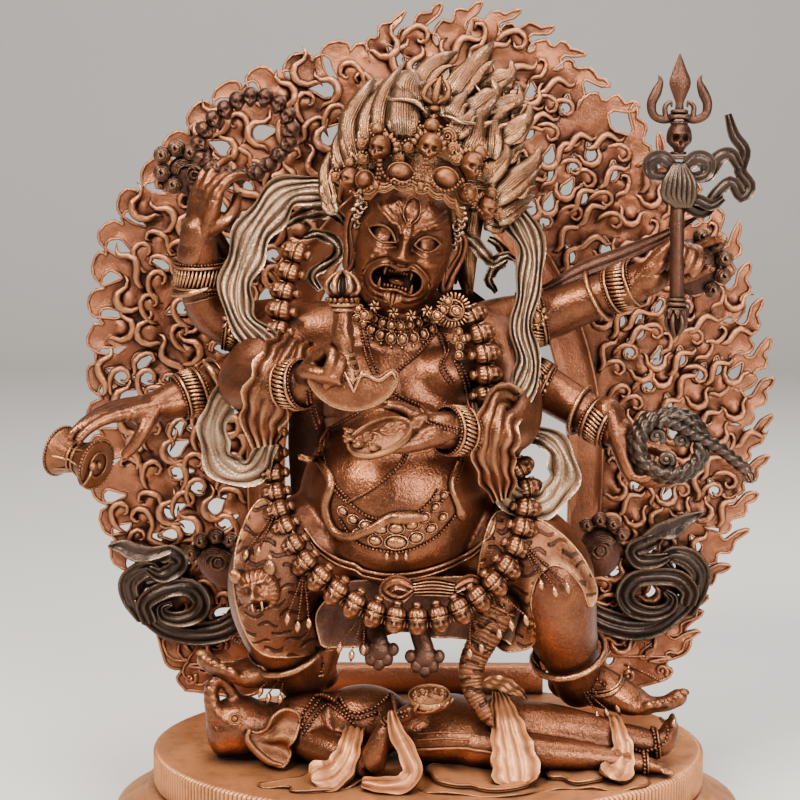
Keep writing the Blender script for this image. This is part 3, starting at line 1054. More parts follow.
def makeHead():
    s = np.linspace(-1, 1, 200, endpoint=False)[None, :]
    around = math.pi * (0.50 * s + 0.50 * s ** 3)
    t = np.linspace(-1, 1, 164)[:, None]
    fall = math.pi / 2 * (0.85 * t + 0.15 * t ** 3) * 0.985
    v = -2.6 + np.where(fall > 0, 20.2, 22.8) * np.sin(fall) + 0 * around
    full = fullness(v)
    forwards = np.cos(around)
    a = 14.8 * np.sin(around) * full
    f = np.where(forwards > 0, 15.5, 14.0) * np.sign(forwards) * np.abs(forwards) ** 0.84 * full
    rise = faceRelief(a.ravel(), v.ravel()).reshape(a.shape) * ease(forwards, 0.05, 0.4)
    return Shape().grid(np.stack([a, f + rise, v], -1), ("flat", "flat")).moved(fromHead)


# Wires round the eyes and lips, teeth, tongue, the tuft on the chin and the flame-like whiskers
def faceParts():
    wires, bones, tuft = Shape(), Shape(), Shape()
    for side in (-1, 1):
        for line, size in zip(face["lids"][side], (0.42, 0.34)):
            wires.tube(onFace(line, 26), size * 1.15, size, 8)
        brow = [(-side * a, v) for a, v in face["brow"]]
        path = onFace(brow, 44)
        size = np.interp(np.linspace(0, 1, 44), [0, 0.4, 0.85, 1], [0.15, 0.55, 0.6, 0.35])
        path[:, 2] += 0.25 * np.sin(np.linspace(0, 17, 44))
        wires.tube(path, size, size * 1.1, 8)
        for at, high, low, size in ((4.0, -9.4, -12.4, 0.62), (4.9, -16.4, -13.4, 0.6)):
            fang = curve([(side * at, 14.4, high, size), (side * (at + 0.15), 14.9, (high + low) / 2, size * 0.72),
                          (side * (at + 0.05), 15.0, low, 0.1)], 10)
            bones.tube(fang, fang[:, 3], fang[:, 3], 8, ("flat", "flat"))
        for k in range(5):
            a, v = side * (12.2 - 0.35 * k), -7.0 - 1.7 * k
            lock = curve([(a, 8.8, v, 0.4), (a * 0.97, 10.2, v - 0.4, 0.7), (a * 0.93, 11.2, v + 0.3, 0.6),
                          (a * 0.92, 11.6, v + 1.4, 0.1)], 10)
            tuft.tube(lock, lock[:, 3], lock[:, 3], 8, form=lambda along, turn: 1 + 0.12 * np.cos(4 * turn))
    wires.tube(onFace(face["mouth"], 90, True, 0.25), 0.42, 0.42, 8, closed=True)
    rim = [(2.55 * math.sin(k * math.pi / 6), 8.3 + 3.9 * math.cos(k * math.pi / 6) - (0.9 if k == 6 else 0))
           for k in range(12)]
    wires.tube(onFace(rim, 48, True, 0.1), 0.3, 0.3, 8, closed=True)
    for k in range(7):
        at = -2.7 + 0.9 * k
        bones.copies(bead, [(at, 13.4, -10.5 - 0.1 * abs(at))], sizes=[(0.46, 0.5, 0.75)])
        bones.copies(bead, [(at * 1.25, 13.4, -15.5 - 0.08 * abs(at))], sizes=[(0.5, 0.5, 0.75)])
    tongue = curve([(0, 8.5, -14.6, 3.0), (0.2, 11.8, -14.2, 2.7), (0.3, 13.6, -14.2, 2.0), (0.3, 14.6, -13.6, 0.8)], 16)
    bones.tube(tongue, tongue[:, 3], tongue[:, 3] * 0.45, 14, hint=(0, 0, 1))
    for a, lean, long in ((0.0, 0.0, 3.4), (-1.1, -0.2, 2.4), (1.1, 0.2, 2.4), (-1.9, -0.4, 1.5), (1.9, 0.4, 1.5)):
        lock = curve([(a, 15.2, -17.4, 0.3), (a * 1.1 + lean, 16.0, -18.2, 0.72),
                      (a * 0.8 + lean, 16.6, -18.8 - long * 0.4, 0.5), (a * 0.4, 16.8, -18.2 - long, 0.1)], 12)
        tuft.tube(lock, lock[:, 3], lock[:, 3], 10, form=lambda along, turn: 1 + 0.16 * np.cos(4 * turn))
    for shape in (wires, bones, tuft):
        shape.moved(fromHead)
    return wires, bones, tuft


# Long ears: a rim round a hollow, an inner fold, a lobe stretched by its ring
def makeEars():
    shape = Shape()
    for side in (-1, 1):
        def placed(points, lift=0.0):
            return [(side * (14.0 + x * 0.93 + lift * 0.35), 2.4 - x * 0.38 + lift, v, size) for x, v, size in points]

        rim = curve(placed([(0.2, -1.6, 0.6), (0.6, 2.0, 0.8), (2.6, 3.6, 0.9), (4.7, 2.2, 0.95), (5.2, -2, 0.95),
                            (4.4, -6.0, 0.9), (3.2, -9.6, 1.1), (2.7, -13, 1.25), (1.6, -15, 1.1), (0.4, -13, 0.9),
                            (0.2, -9.5, 0.7)]), 60)
        shape.tube(rim, rim[:, 3], rim[:, 3], 10)
        inner = curve(placed([(1.2, 1.2, 0.4), (3.2, 1.0, 0.6), (3.6, -2.4, 0.6), (2.4, -5.6, 0.5), (1.4, -7.5, 0.3)],
                             0.1), 26)
        shape.tube(inner, inner[:, 3], inner[:, 3], 8)
        plate = curve(placed([(2.4, 3.2, 1.6), (2.6, 0, 2.6), (2.4, -4, 2.2), (1.8, -9, 1.6), (1.5, -14, 0.9)], -0.5), 18)
        shape.tube(plate, plate[:, 3], 0.6, 12, hint=(side * 0.35, 1, 0))
    return shape.moved(fromHead)


# A skull, looking along -y and 2 high: a ball whose front sinks in sockets, a nose and a row of teeth
def makeSkull(around=44, up=34):
    s = np.linspace(-1, 1, around, endpoint=False)[None, :]
    turn = math.pi * (0.6 * s + 0.4 * s ** 3)
    fall = np.linspace(-1, 1, up)[:, None] * math.pi / 2 * 0.98
    full = np.cos(fall) ** 0.8
    v = 1.0 * np.sin(fall) + 0 * turn
    jaw = ease(-v, 0.2, 0.75)
    a = 0.80 * np.sin(turn) * full * (1 - 0.42 * jaw)
    f = 0.92 * np.cos(turn) * full * (1 - 0.30 * jaw * (np.cos(turn) < 0))
    p = np.stack([np.abs(a), v], -1)
    front = ease(np.cos(turn), 0.0, 0.4)
    rise = -0.50 * hill(p, (0.31, -0.02), (0.20, 0.18)) - 0.32 * hill(p, (0.0, -0.30), (0.09, 0.15))
    rise += 0.12 * hill(p, (0.33, 0.24), (0.28, 0.07)) + 0.13 * hill(p, (0.50, -0.28), (0.16, 0.09))
    rise += 0.12 * hill(p, (0.0, -0.60), (0.34, 0.16)) + 0.05 * hill(p, (0, 0.5), (0.5, 0.3))
    rise -= 0.12 * np.exp(-((v + 0.66) / 0.035) ** 2) * (p[..., 0] < 0.34)
    rise += 0.035 * np.cos(a * 2 * math.pi / 0.115) * np.exp(-((v + 0.66) / 0.13) ** 2) * (p[..., 0] < 0.36)
    rise -= 0.16 * hill(p, (0.66, -0.05), (0.14, 0.2))
    return Shape().grid(np.stack([a, -(f + rise * front), v], -1), ("flat", "flat"))


headSkin = makeHead()
wires, bones, tuft = faceParts()
print("head", headSkin.triangles())
piece("head", headSkin, finishes["warm"], sharp=180, keep=0.66)
piece("faceWires", wires, finishes["gold"], sharp=180)
piece("teeth", bones, finishes["gold"], sharp=180)
piece("whiskers", tuft, finishes["gold"], sharp=180)
piece("ears", makeEars(), finishes["warm"], sharp=180)
print("head ready")


# Flame-like hair, combed up and to the right: each lock runs through (x, y, z, half width) to its tip
hairLocks = [
    [(-22.4, -8, 186.6, 3.4), (-25.3, -4, 198.8, 3.3), (-22.5, 0, 206.9, 2.9), (-17.8, 4, 215.6, 0.3)],
    [(-18.6, -11, 190.3, 2.6), (-20.5, -8, 199.7, 2.6), (-18.6, -5, 206.3, 2.2), (-14.4, -3, 212.4, 0.3)],
    [(-13.8, -12, 192.2, 2.8), (-15.3, -8, 202, 3), (-13.4, -3, 210.5, 2.6), (-9.1, 2, 219.2, 0.3)],
    [(-8.7, -13, 196.8, 4.4), (-9.2, -11, 202.4, 4.4), (-9.2, -9, 207.1, 3.9), (-8.7, -6, 210.4, 3)],
    [(-6.3, -7, 205.3, 4.6), (-7.3, -5, 211.4, 4.4), (-6.3, -3, 214.7, 3), (-4.9, -1, 216.7, 1)],
    [(-3.9, 0, 210.2, 2.6), (-1.5, 2, 216.4, 2.8), (3.3, 4, 220.5, 2.2), (8.4, 6, 223.5, 0.3)],
    [(-5.8, 3, 211.3, 2.2), (-4.3, 4, 217, 1.6), (-1.9, 5, 220.3, 0.3)],
    [(6.1, -2, 208.2, 3.4), (10.4, 1, 214.5, 3.7), (15.8, 3, 221.2, 2.6), (19.7, 5, 226.5, 0.3)],
    [(5, -8, 201.5, 3.4), (7.8, -7, 205.7, 3), (10.7, -5, 210.5, 0.4)],
    [(9.8, -5, 202.5, 2.6), (15.6, -2, 207.8, 2.8), (19.5, 0, 211.1, 1.9), (18.6, 1, 214.7, 0.3)],
    [(13.5, 4, 210.8, 2.6), (20.2, 5, 214.2, 2.7), (25.3, 6, 216.8, 2), (25.1, 7, 220.8, 0.3)],
    [(9.7, -10, 190.3, 3.2), (12.6, -8, 196.9, 3.2), (14.6, -5, 202.5, 2.6), (19.1, -3, 206.3, 0.4)],
    [(16.3, 3, 204.6, 2.5), (22.7, 5, 207.3, 2.4), (27.6, 6, 209.2, 1.7), (27.7, 7, 212.5, 0.3)],
    [(18.5, -4, 190.3, 2.4), (19.5, -2, 197.9, 2.6), (20.5, 0, 202.2, 1.8), (23.5, 1, 204.3, 0.3)],
    [(20.7, 2, 195.6, 2.8), (26.1, 4, 199.4, 2.9), (30.3, 6, 203.3, 1.9), (30.9, 8, 207.6, 0.3)],
    [(16.1, -5, 182.8, 2.6), (19.5, -3, 187.5, 2.9), (23.2, -1, 191.3, 2.2), (22.8, 1, 195.1, 0.3)],
    [(23.2, 3, 189.4, 2.1), (26.7, 5, 192.3, 1.9), (30, 7, 195.2, 0.3)],
    [(18.7, -2, 177, 3.2), (24.6, 1, 182.2, 3.6), (31.6, 5, 187.9, 2.6), (35.2, 8, 194, 0.3)],
    [(25.9, 5, 178.3, 2.6), (30.3, 7, 181.7, 2.3), (33.9, 8, 185, 0.3)],
    [(20.8, 0, 171.2, 3), (26.2, 3, 174.5, 2.8), (33.1, 8, 178.7, 0.4)],
    [(-27.2, -7, 186.6, 2.2), (-29.6, -4, 192.7, 2), (-28.5, -1, 199.4, 0.3)],
    [(-23.4, -8, 187.5, 1.8), (-25.3, -7, 191.3, 1.6), (-26.5, -6, 195, 0.3)],
    [(-31.1, -5, 176.1, 2), (-33.3, -2, 185.1, 2), (-32, 1, 192, 0.3)],
    [(-30.1, -6, 173.3, 2), (-33.1, -3, 178, 1.8), (-35.1, 0, 183.2, 0.3)],
    [(1.7, -8, 202.5, 3.2), (-0.2, -6, 206.2, 3.2), (-1.6, -4, 209.1, 2.4), (-1.1, -2, 212.5, 0.8)],
    [(6.8, -11, 196.8, 2.6), (8.2, -10, 199.6, 2.6), (11.1, -8, 202.5, 2), (13.1, -6, 206.2, 0.4)],
    [(-20.2, 2, 203.6, 3.2), (-18.8, 4, 209.4, 3), (-14.5, 6, 214.7, 0.4)],
    [(-12, 2, 210.3, 3), (-10.6, 4, 214.1, 2.6), (-7.7, 6, 217.5, 0.4)],
    [(18.4, 6, 209.5, 2.6), (22.4, 8, 211.5, 2.2), (24.8, 9, 213.4, 0.3)],
    [(18.4, 5, 202.8, 2.6), (24.8, 8, 203.8, 2.2), (29.3, 9, 206.7, 0.3)],
    [(17.5, 2, 170.2, 2.8), (23, 5, 169.6, 2.4), (28.6, 8, 171.4, 0.4)],
]
hair = {"ridge": 0.56, "cut": 0.17, "flat": 0.62}   # mm between strands, their depth, a lock's depth by width


# A tapering lock with strands cut along it
def lock(shape, points, rows=16, pitch=None, flatten=None, hint=(0, 1, 0), spin=0.9):
    path = curve(points, rows)
    widest = path[:, 3].max()
    strands = max(4, int(round(widest * 4.6 / (pitch or hair["ridge"]))))
    shape.tube(path, path[:, 3], path[:, 3] * (flatten or hair["flat"]), 3 * strands, ("flat", "flat"), hint=hint,
               form=lambda along, turn: 1 + hair["cut"] * np.cos(strands * (turn + 0 * along)), spin=spin * 0)


def makeHair():
    back, front = Shape(), Shape()
    for k, points in enumerate(hairLocks):
        path = np.array(points, float)
        path[0, 3] *= 0.8
        path[1:-1, 0] += 0.5 * np.sin(2.3 * k)
        lock(front, path)
        # two thinner locks lie along each, one on either side, with tips that part from it
        width = path[:, 3:4].max()
        heading = unit(path[-1, :3] - path[0, :3])
        aside = unit(np.cross(heading, (0, 1, 0)))
        for side, lag, deep in ((-1, 0.80, -1.2), (1, 0.68, -0.4)):
            twin = curve(path, 6)
            share = np.linspace(0, 1, 6)[:, None]
            twin[:, :3] = path[0, :3] + (twin[:, :3] - path[0, :3]) * (lag + 0.06 * math.sin(3.1 * k))
            twin[:, :3] += aside * side * width * (0.42 + 0.85 * share ** 2.2) + [0, deep, 0]
            twin[:, :3] += aside * side * 0.9 * np.sin(share * 5.5)
            twin[:, 3] = width * np.array([0.3, 0.44, 0.48, 0.42, 0.26, 0.05])
            lock(front, twin, 14)
    # fuller, lower locks fill the space behind, each between two of the drawn ones
    centre = np.array([-4.0, 6.0, 184.0])
    tips = np.array([points[-1][:3] for points in hairLocks])
    order = np.argsort(np.arctan2(tips[:, 0] - centre[0], tips[:, 2] - centre[2]))
    rim = tips[order]
    rim = rim[np.linalg.norm((rim - centre)[:, [0, 2]], axis=1) > 19]
    for k, tip in enumerate(curve(rim, 34)[:, :3]):
        inner = centre + (tip - centre) * [0.34, 0, 0.34]
        bend = np.array([0.9 if k % 2 else -0.9, 0, 0.5])
        end = centre + (tip - centre) * (0.86 + 0.05 * math.sin(2.1 * k))
        middle = (inner + end) / 2 + bend
        lock(back, [(*inner[[0]], 5.0, inner[2], 3.0), (middle[0], 6.0, middle[2], 3.0), (end[0], 8.0, end[2], 0.4)], 12)
    back.copies(egg(44, 30, (16.8, 14.5, 19.5)), [(-4.2, 5.0, 175.5)])
    back.copies(egg(36, 22, (13.0, 8.0, 15.0)), [(-1.0, 5.0, 196.0)])
    # plain combed hair down the back of the head
    for k in range(19):
        turn = math.pi * k / 18
        x, y = math.cos(turn), math.sin(turn)
        lock(back, [(-3.5 + 12 * x, 8 + 5 * y, 192, 2.6), (-4 + 17.5 * x, 7 + 12.5 * y, 176, 3.2),
                    (-5 + 17 * x, 6 + 12 * y, 160, 2.8), (-5.5 + (19 + 1.2 * math.sin(3 * k)) * x, 7 + 15 * y, 147 + 2.5 * math.sin(2 * k), 0.4)], 14)
    # small curls before the ears
    for side, a in ((-1, -15.2), (1, 14.8)):
        for k in range(8):
            start = fromHead([(a + side * 0.7 * (k % 3), 7.5 - 0.9 * k, 10.5 - 1.6 * k)])[0]
            turn = 1.0 + 5.2 * np.linspace(0, 1, 9)
            r = 1.9 * (1 - 0.75 * np.linspace(0, 1, 9))
            path = np.stack([start[0] + side * r * np.cos(turn), start[1] - 1.2 * np.linspace(0, 1, 9),
                             start[2] + r * np.sin(turn), 0.7 - 0.35 * np.linspace(0, 1, 9)], 1)
            path = curve(path, 18)
            front.tube(path, path[:, 3], path[:, 3], 8, hint=(0, 1, 0))
    # the rolled edges where the front hair is tied up round the half thunderbolt
    for edge in ([(-13.6, -8.5, 208.8, 0.5), (-12.2, -10.5, 208.0, 0.75), (-8.7, -12, 207.9, 0.8), (-4.5, -12.5, 206.8, 0.8),
                  (-1.7, -12, 204, 0.4)],
                 [(2.8, -11.5, 203.2, 0.4), (5.8, -13, 202.4, 0.7), (9.1, -13, 201.1, 0.7), (13.4, -10, 200.8, 0.4)]):
        path = curve(edge, 30)
        front.tube(path, path[:, 3], path[:, 3] * 0.8, 10)
    return back, front


# Five-skull crown. Each skull sits in a setting of leaves over a rosette; swags of beads hang between.
crownSkulls = [((-25.2, -11.5, 183.8), 3.5, -0.9), ((-15.9, -16.5, 193.1), 4.1, -0.4), ((-0.8, -18.5, 193.5), 4.3, 0.05),
               ((12.1, -16.0, 188.0), 4.1, 0.5), ((17.1, -9.5, 174.8), 3.5, 1.0)]
crown = {
    "jewels": [(-25.2, -10.5, 188.7, 1.9), (-16.6, -14, 198.9, 2.2), (-0.1, -16, 200.0, 2.4), (14.8, -13, 191.9, 2.4),
               (18.4, -9, 179.5, 2.1)],
    "scrolls": [(-5.6, -14, 198.4, 2.6, -1), (4.7, -14, 196.9, 2.6, 1), (-7.0, -15, 193.6, 1.8, -1),
                (6.3, -15, 193.0, 1.9, 1), (-21.2, -13, 194.6, 1.8, -1), (-11.4, -14, 193.4, 1.9, 1),
                (-10.6, -15, 190.0, 1.7, 1), (-21.0, -14, 190.0, 1.7, -1), (7.4, -16, 189.8, 1.8, -1),
                (16.6, -14, 186.6, 1.7, 1), (-29.4, -9, 184.6, 1.6, -1), (20.6, -8, 173.0, 1.6, 1)],
    "cabochons": [(-9.6, -19, 185.9, 3.6, 2.7, 0.1), (4.3, -19, 184.2, 3.7, 2.9, 0.45), (-20.4, -15.5, 183.6, 2.6, 2.6, -0.3),
                  (11.0, -15.5, 179.6, 2.6, 2.8, 0.8)],
    "swags": [[(-15.9, -21, 188), (-13.8, -21.5, 184.3), (-10.5, -22, 182.6), (-6.8, -22, 183.1), (-4.1, -21.5, 187.5)],
              [(-1.3, -21.5, 187.5), (0.1, -22, 182.5), (3.3, -22, 180.4), (6.6, -21, 181.1), (9.2, -19, 183.8)],
              [(-16.1, -20.8, 189.4), (-16.5, -21, 185.7), (-17.7, -20.5, 181.8)],
              [(-15.5, -20.8, 189.4), (-15.6, -21, 185.7), (-16.4, -20.5, 181.8)],
              [(-2.3, -21.8, 189.8), (-3.1, -22.2, 185.7), (-4.2, -21.7, 181.4)],
              [(-1.6, -21.8, 189.8), (-2.1, -22.2, 185.7), (-2.9, -21.7, 181.2)],
              [(-24.8, -15, 180), (-22.0, -17, 179.6), (-18.6, -19, 181.5)],
              [(9.4, -19, 183.4), (11.0, -17, 177.8), (13.6, -14, 175.6), (15.6, -13, 173.5)]],
    "scallops": [(-20.4, -18.0, 178.6), (-16.4, -20.5, 180.9), (-11.9, -21.4, 182.0), (-6.4, -21.9, 181.8),
                 (-0.9, -21.8, 180.5), (3.8, -20.8, 178.4), (7.4, -18.6, 175.6), (9.6, -16.2, 172.2)],
}


def facing(lean, tilt=0.0):
    turned = Matrix.Rotation(lean, 3, "Z") @ Matrix.Rotation(tilt, 3, "Y")
    return np.array(turned)


def scroll(shape, centre, across, up, radius, size, turns=1.35, side=1, flatten=0.7):
    t = np.linspace(0, 1, 26)
    turn = side * (2 * math.pi * turns * t) - 0.6 * side
    r = radius * (1 - 0.82 * t)
    path = centre + (r * np.cos(turn))[:, None] * across + (r * np.sin(turn))[:, None] * up
    width = size * (1 - 0.5 * t)
    shape.tube(path, width, width * flatten, 8)
    shape.copies(bead, [path[-1]], sizes=size * 0.9)


def makeCrown():
    skulls, mounts = Shape(), Shape()
    template = makeSkull()
    tilt = np.array(Matrix.Rotation(math.radians(headPose["roll"]), 3, "Y"))
    for spot, size, lean in crownSkulls:
        axes = tilt @ facing(lean)
        skulls.copies(template, [spot], [axes], size)
        # leaves stand round each skull, over a boss with two scrolls
        for k in range(10):
            turn = math.pi * (0.02 + 0.96 * k / 9)
            way = axes @ np.array([math.cos(turn), 0.1, math.sin(turn)])
            aside = axes @ np.array([-math.sin(turn), 0, math.cos(turn)]) * (0.8 if k < 5 else -0.8)
            root = np.asarray(spot) + way * size * 0.8 + axes @ np.array([0, 2.0, 0])
            lock(mounts, [(*root, 0.6), (*(root + way * size * 0.26 + aside * 0.5), 0.95),
                          (*(root + way * size * (0.62 if k % 2 else 0.5) + aside), 0.15)], 8, 0.9, 0.7)
    for x, y, z, size in crown["jewels"]:
        mounts.copies(egg(16, 10), [(x, y, z)], [tilt], [(size, size * 0.8, size * 0.95)])
        mounts.copies(egg(10, 5), [(x + 0.5 * size * 0.4, y, z + size * 1.0)], [tilt], [(size * 0.28, size * 0.28, size * 0.42)])
        for k in range(7):
            turn = math.pi * (1.05 + 0.9 * k / 6)
            mounts.copies(bead, [(x + size * 1.05 * math.cos(turn), y - 0.2, z + size * 0.95 * math.sin(turn))], sizes=0.5)
    for x, y, z, radius, side in crown["scrolls"]:
        for lift, share, wide in ((0, 1.0, 0.62), (-0.6, 0.66, 0.42)):
            scroll(mounts, np.array([x, y + lift, z]), np.array([1.0, 0, 0]), np.array([0, 0.0, 1.0]), radius * share,
                   wide, 1.6, side)
        for k in range(5):
            turn = math.pi * (0.15 + 0.7 * k / 4)
            mounts.copies(tinyBead, [(x + radius * 1.22 * math.cos(turn) * side, y + 0.3,
                                      z + radius * 1.22 * math.sin(turn))], sizes=0.42)
    for x, y, z, wide, high, lean in crown["cabochons"]:
        axes = np.array(Matrix.Rotation(lean, 3, "Y"))
        mounts.copies(egg(24, 14), [(x, y, z)], [axes], [(wide, 2.6, high)])
        rim = [np.array([x, y - 0.7, z]) + axes @ np.array([1.06 * wide * math.cos(t), 0, 1.08 * high * math.sin(t)])
               for t in np.arange(24) * math.pi / 12]
        mounts.tube(curve(rim, 40, True) + [0, 1.4, 0], 0.34, 0.34, 7, closed=True)
    for swag in crown["swags"]:
        beadsAlong(mounts, curve(swag, 30) + [0, -0.5, 0], 0.56)
    for spot in ((-17.0, -21, 182.2), (-3.5, -22.3, 181.9)):
        mounts.copies(egg(10, 7), [spot], sizes=[(1.1, 0.9, 1.5)])
        for side in (-1, 1):
            mounts.copies(egg(8, 5), [(spot[0] + side * 1.2, spot[1] + 0.3, spot[2] - 1.0)], sizes=[(0.75, 0.6, 0.75)])
    # the scalloped edge over the brow, each scallop with fine lines
    edge = curve(crown["scallops"], 200)
    for share, drop, size in ((0.0, 0.0, 0.62), (0.0, -0.9, 0.32), (0.0, -1.5, 0.3), (0.0, 1.0, 0.5)):
        line = edge.copy()
        wave = np.abs(np.sin(np.linspace(0, 7 * math.pi, 200)))
        line[:, 2] += drop + 0.9 - 1.1 * wave
        mounts.tube(line, size, size * 0.8, 7)
    # the half thunderbolt over the middle skull: a ball, a neck and prongs that close at their tip
    for side, reach in ((-1, 3.6), (1, 3.6), (0, 0.0)):
        path = curve([(0.9, -8.5, 206.5, 0.7), (1.0 + side * reach * 0.95, -9.5, 208.6, 0.95),
                      (1.6 + side * reach, -9.5, 211.0, 0.9), (2.2 + side * reach * 0.62, -9.0, 213.2, 0.7),
                      (2.6 + side * 0.4, -8.6, 214.9 - abs(side) * 0.5, 0.15)], 22)
        mounts.tube(path, path[:, 3] * (1.3 if side == 0 else 1), path[:, 3], 10, hint=(0, 1, 0))
    for x, y, z, size in ((0.8, -9.5, 205.2, 1.9), (0.6, -10, 202.8, 1.5), (0.5, -10.5, 200.9, 1.9)):
        mounts.copies(egg(20, 9), [(x, y, z)], sizes=[(size, size * 0.9, size * 0.62)])
    return skulls, mounts


hairBack, hairFront = makeHair()
skulls, mounts = makeCrown()
print("hair", hairBack.triangles() + hairFront.triangles(), "crown", skulls.triangles() + mounts.triangles())
piece("hairBack", hairBack, finishes["hair"], sharp=180, keep=0.3)
piece("hairFront", hairFront, finishes["hair"], sharp=180, keep=0.55)
piece("crownSkulls", skulls, finishes["gold"], sharp=180, keep=0.8)
piece("crownSettings", mounts, finishes["gold"], sharp=180, keep=0.62)
print("hair and crown ready")


# The garland of severed heads: small faces with knotted, ribbed hair, side by side along a sagging line
garlandLine = [(-41.5, -2, 160.6), (-44.9, -4, 149), (-46.4, -8, 139.9), (-47.6, -10, 130), (-48.9, -9, 114.5),
               (-48.9, -11, 98.8), (-47.4, -17, 85.9), (-44.1, -25, 78), (-38.3, -31, 69.4), (-29.7, -34, 61.7),
               (-19.9, -35, 55.4), (-8.9, -35.5, 52.5), (2.8, -35, 52.9), (11.9, -33.5, 56.9), (20.2, -31, 64),
               (25.6, -27, 72.1), (28.4, -22, 81.3), (29.0, -17, 90.2), (22.1, -16, 102), (16.8, -17, 113.6),
               (16.4, -16, 124), (15.2, -14, 133.5), (12.2, -10, 141.3)]


# One head, 2 high, face at -y, made like the big one but with fewer points
def makeSmallHead():
    s = np.linspace(-1, 1, 26, endpoint=False)[None, :]
    turn = math.pi * (0.55 * s + 0.45 * s ** 3)
    fall = np.linspace(-1, 1, 17)[:, None] * math.pi / 2 * 0.97
    full = np.cos(fall) ** 0.8
    v = np.sin(fall) + 0 * turn
    a = 0.86 * np.sin(turn) * full
    f = 0.9 * np.cos(turn) * full
    p = np.stack([np.abs(a), v], -1)
    rise = 0.26 * hill(p, (0.3, 0.18), (0.26, 0.08)) - 0.46 * hill(p, (0.32, 0.0), (0.2, 0.12))
    rise += 0.2 * hill(p, (0.32, 0.0), (0.1, 0.07)) + 0.5 * hill(p, (0, -0.15), (0.13, 0.17))
    rise += 0.2 * hill(p, (0.45, -0.25), (0.18, 0.15)) - 0.5 * hill(p, (0, -0.47), (0.3, 0.09))
    rise += 0.15 * hill(p, (0, -0.33), (0.26, 0.04)) + 0.16 * hill(p, (0, -0.58), (0.24, 0.06))
    rise += 0.10 * hill(p, (0, -0.82), (0.22, 0.10))
    front = ease(np.cos(turn), 0.0, 0.4)
    shape = Shape().grid(np.stack([a, -(f + rise * front), v], -1), ("flat", "flat"))
    cap = curve([(0, 0.12, 0.40, 0.90), (0, 0.14, 0.62, 0.97), (0, 0.16, 0.88, 0.88), (0, 0.2, 1.12, 0.62),
                 (0, 0.2, 1.26, 0.40), (0, 0.2, 1.42, 0.46), (0, 0.2, 1.62, 0.36), (0, 0.2, 1.72, 0.08)], 16)
    shape.tube(cap, cap[:, 3], cap[:, 3] * 1.05, 45, ("flat", "flat"), hint=(0, 1, 0),
               form=lambda along, around: 1 + 0.075 * np.cos(15 * around))
    band = [(0.93 * math.sin(t), 0.12 - 0.98 * math.cos(t), 0.34) for t in np.linspace(-1.7, 1.7, 15)]
    shape.tube(band, 0.075, 0.075, 5)
    for side in (-1, 1):
        shape.copies(egg(6, 4), [(side * 0.86, 0.05, -0.12)], sizes=[(0.13, 0.2, 0.34)])
    return shape


def makeGarland():
    heads, cord = Shape(), Shape()
    template = makeSmallHead()
    count = int(runLength(curve(garlandLine, 200)) / 6.3)
    path = curve(garlandLine, count)
    centre = np.array([-9.0, 0, 96.0])
    # each head hangs outwards from the line: its topknot points in, its chin out, its face to the front
    for k, spot in enumerate(path):
        heading = path[min(k + 1, count - 1)] - path[max(k - 1, 0)]
        inwards = unit(np.cross(heading, (0, 1, 0)) * [1, 0, 1])
        inwards = inwards if inwards @ (centre - spot) > 0 else -inwards
        look = unit(np.array([-0.35 * inwards[0], -1.0, 0.1]))
        up = unit(inwards - look * (inwards @ look))
        axes = np.stack([np.cross(-look, up), -look, up], -1)
        heads.copies(template, [spot - up * 2.0 + look * 0.6], [axes], [(3.45, 3.6, 3.8)])
    beadsAlong(cord, np.asarray(garlandLine, float) + [0, 1.5, 0], 0.8)
    return heads, cord


garlandHeads, garlandCord = makeGarland()
print("garland", garlandHeads.triangles() + garlandCord.triangles())
piece("garlandHeads", garlandHeads, finishes["warm"], sharp=180, keep=0.54)
piece("garlandCord", garlandCord, finishes["gold"], sharp=180)
print("garland ready")


# Everything worn on the body is laid on its skin: a point is carried along y until it meets the front
from mathutils.bvhtree import BVHTree
bodyTree = BVHTree.FromPolygons([tuple(p) for p in np.vstack(bodySkin.points)],
                                [tuple(f) for faces in bodySkin.faces for f in faces])


def onBody(points, lift=0.3, count=None, closed=False, fallback=-20.0):
    line = np.asarray(points, float)
    line = np.column_stack([line[:, 0], 0 * line[:, 0], line[:, 1:]])
    line = curve(line, count or max(8, int(runLength(line) / 0.9)), closed)
    for row in line:
        hit = bodyTree.ray_cast(Vector((row[0], -90, row[2])), Vector((0, 1, 0)))[0]
        row[1] = (hit.y if hit else fallback) - lift
    y = line[:, 1].copy()
    for _ in range(3):
        y[1:-1] = np.minimum(y[1:-1], (y[:-2] + y[1:-1] + y[2:]) / 3)
    line[:, 1] = y
    return line


# A ring round a limb: the limb's middle, its heading and half width there
def limbRing(middle, heading, reach, count=40, deep=None, start=0.0, end=2 * math.pi, rise=0.0):
    heading = unit(np.asarray(heading, float))
    first = unit(np.cross(heading, (0.1, 1, 0.15)))
    second = np.cross(heading, first)
    turn = np.linspace(start, end, count)
    return (np.asarray(middle, float) + reach * np.cos(turn)[:, None] * first
            + (deep or reach) * np.sin(turn)[:, None] * second + rise * (turn - start)[:, None] / 6.28 * heading)


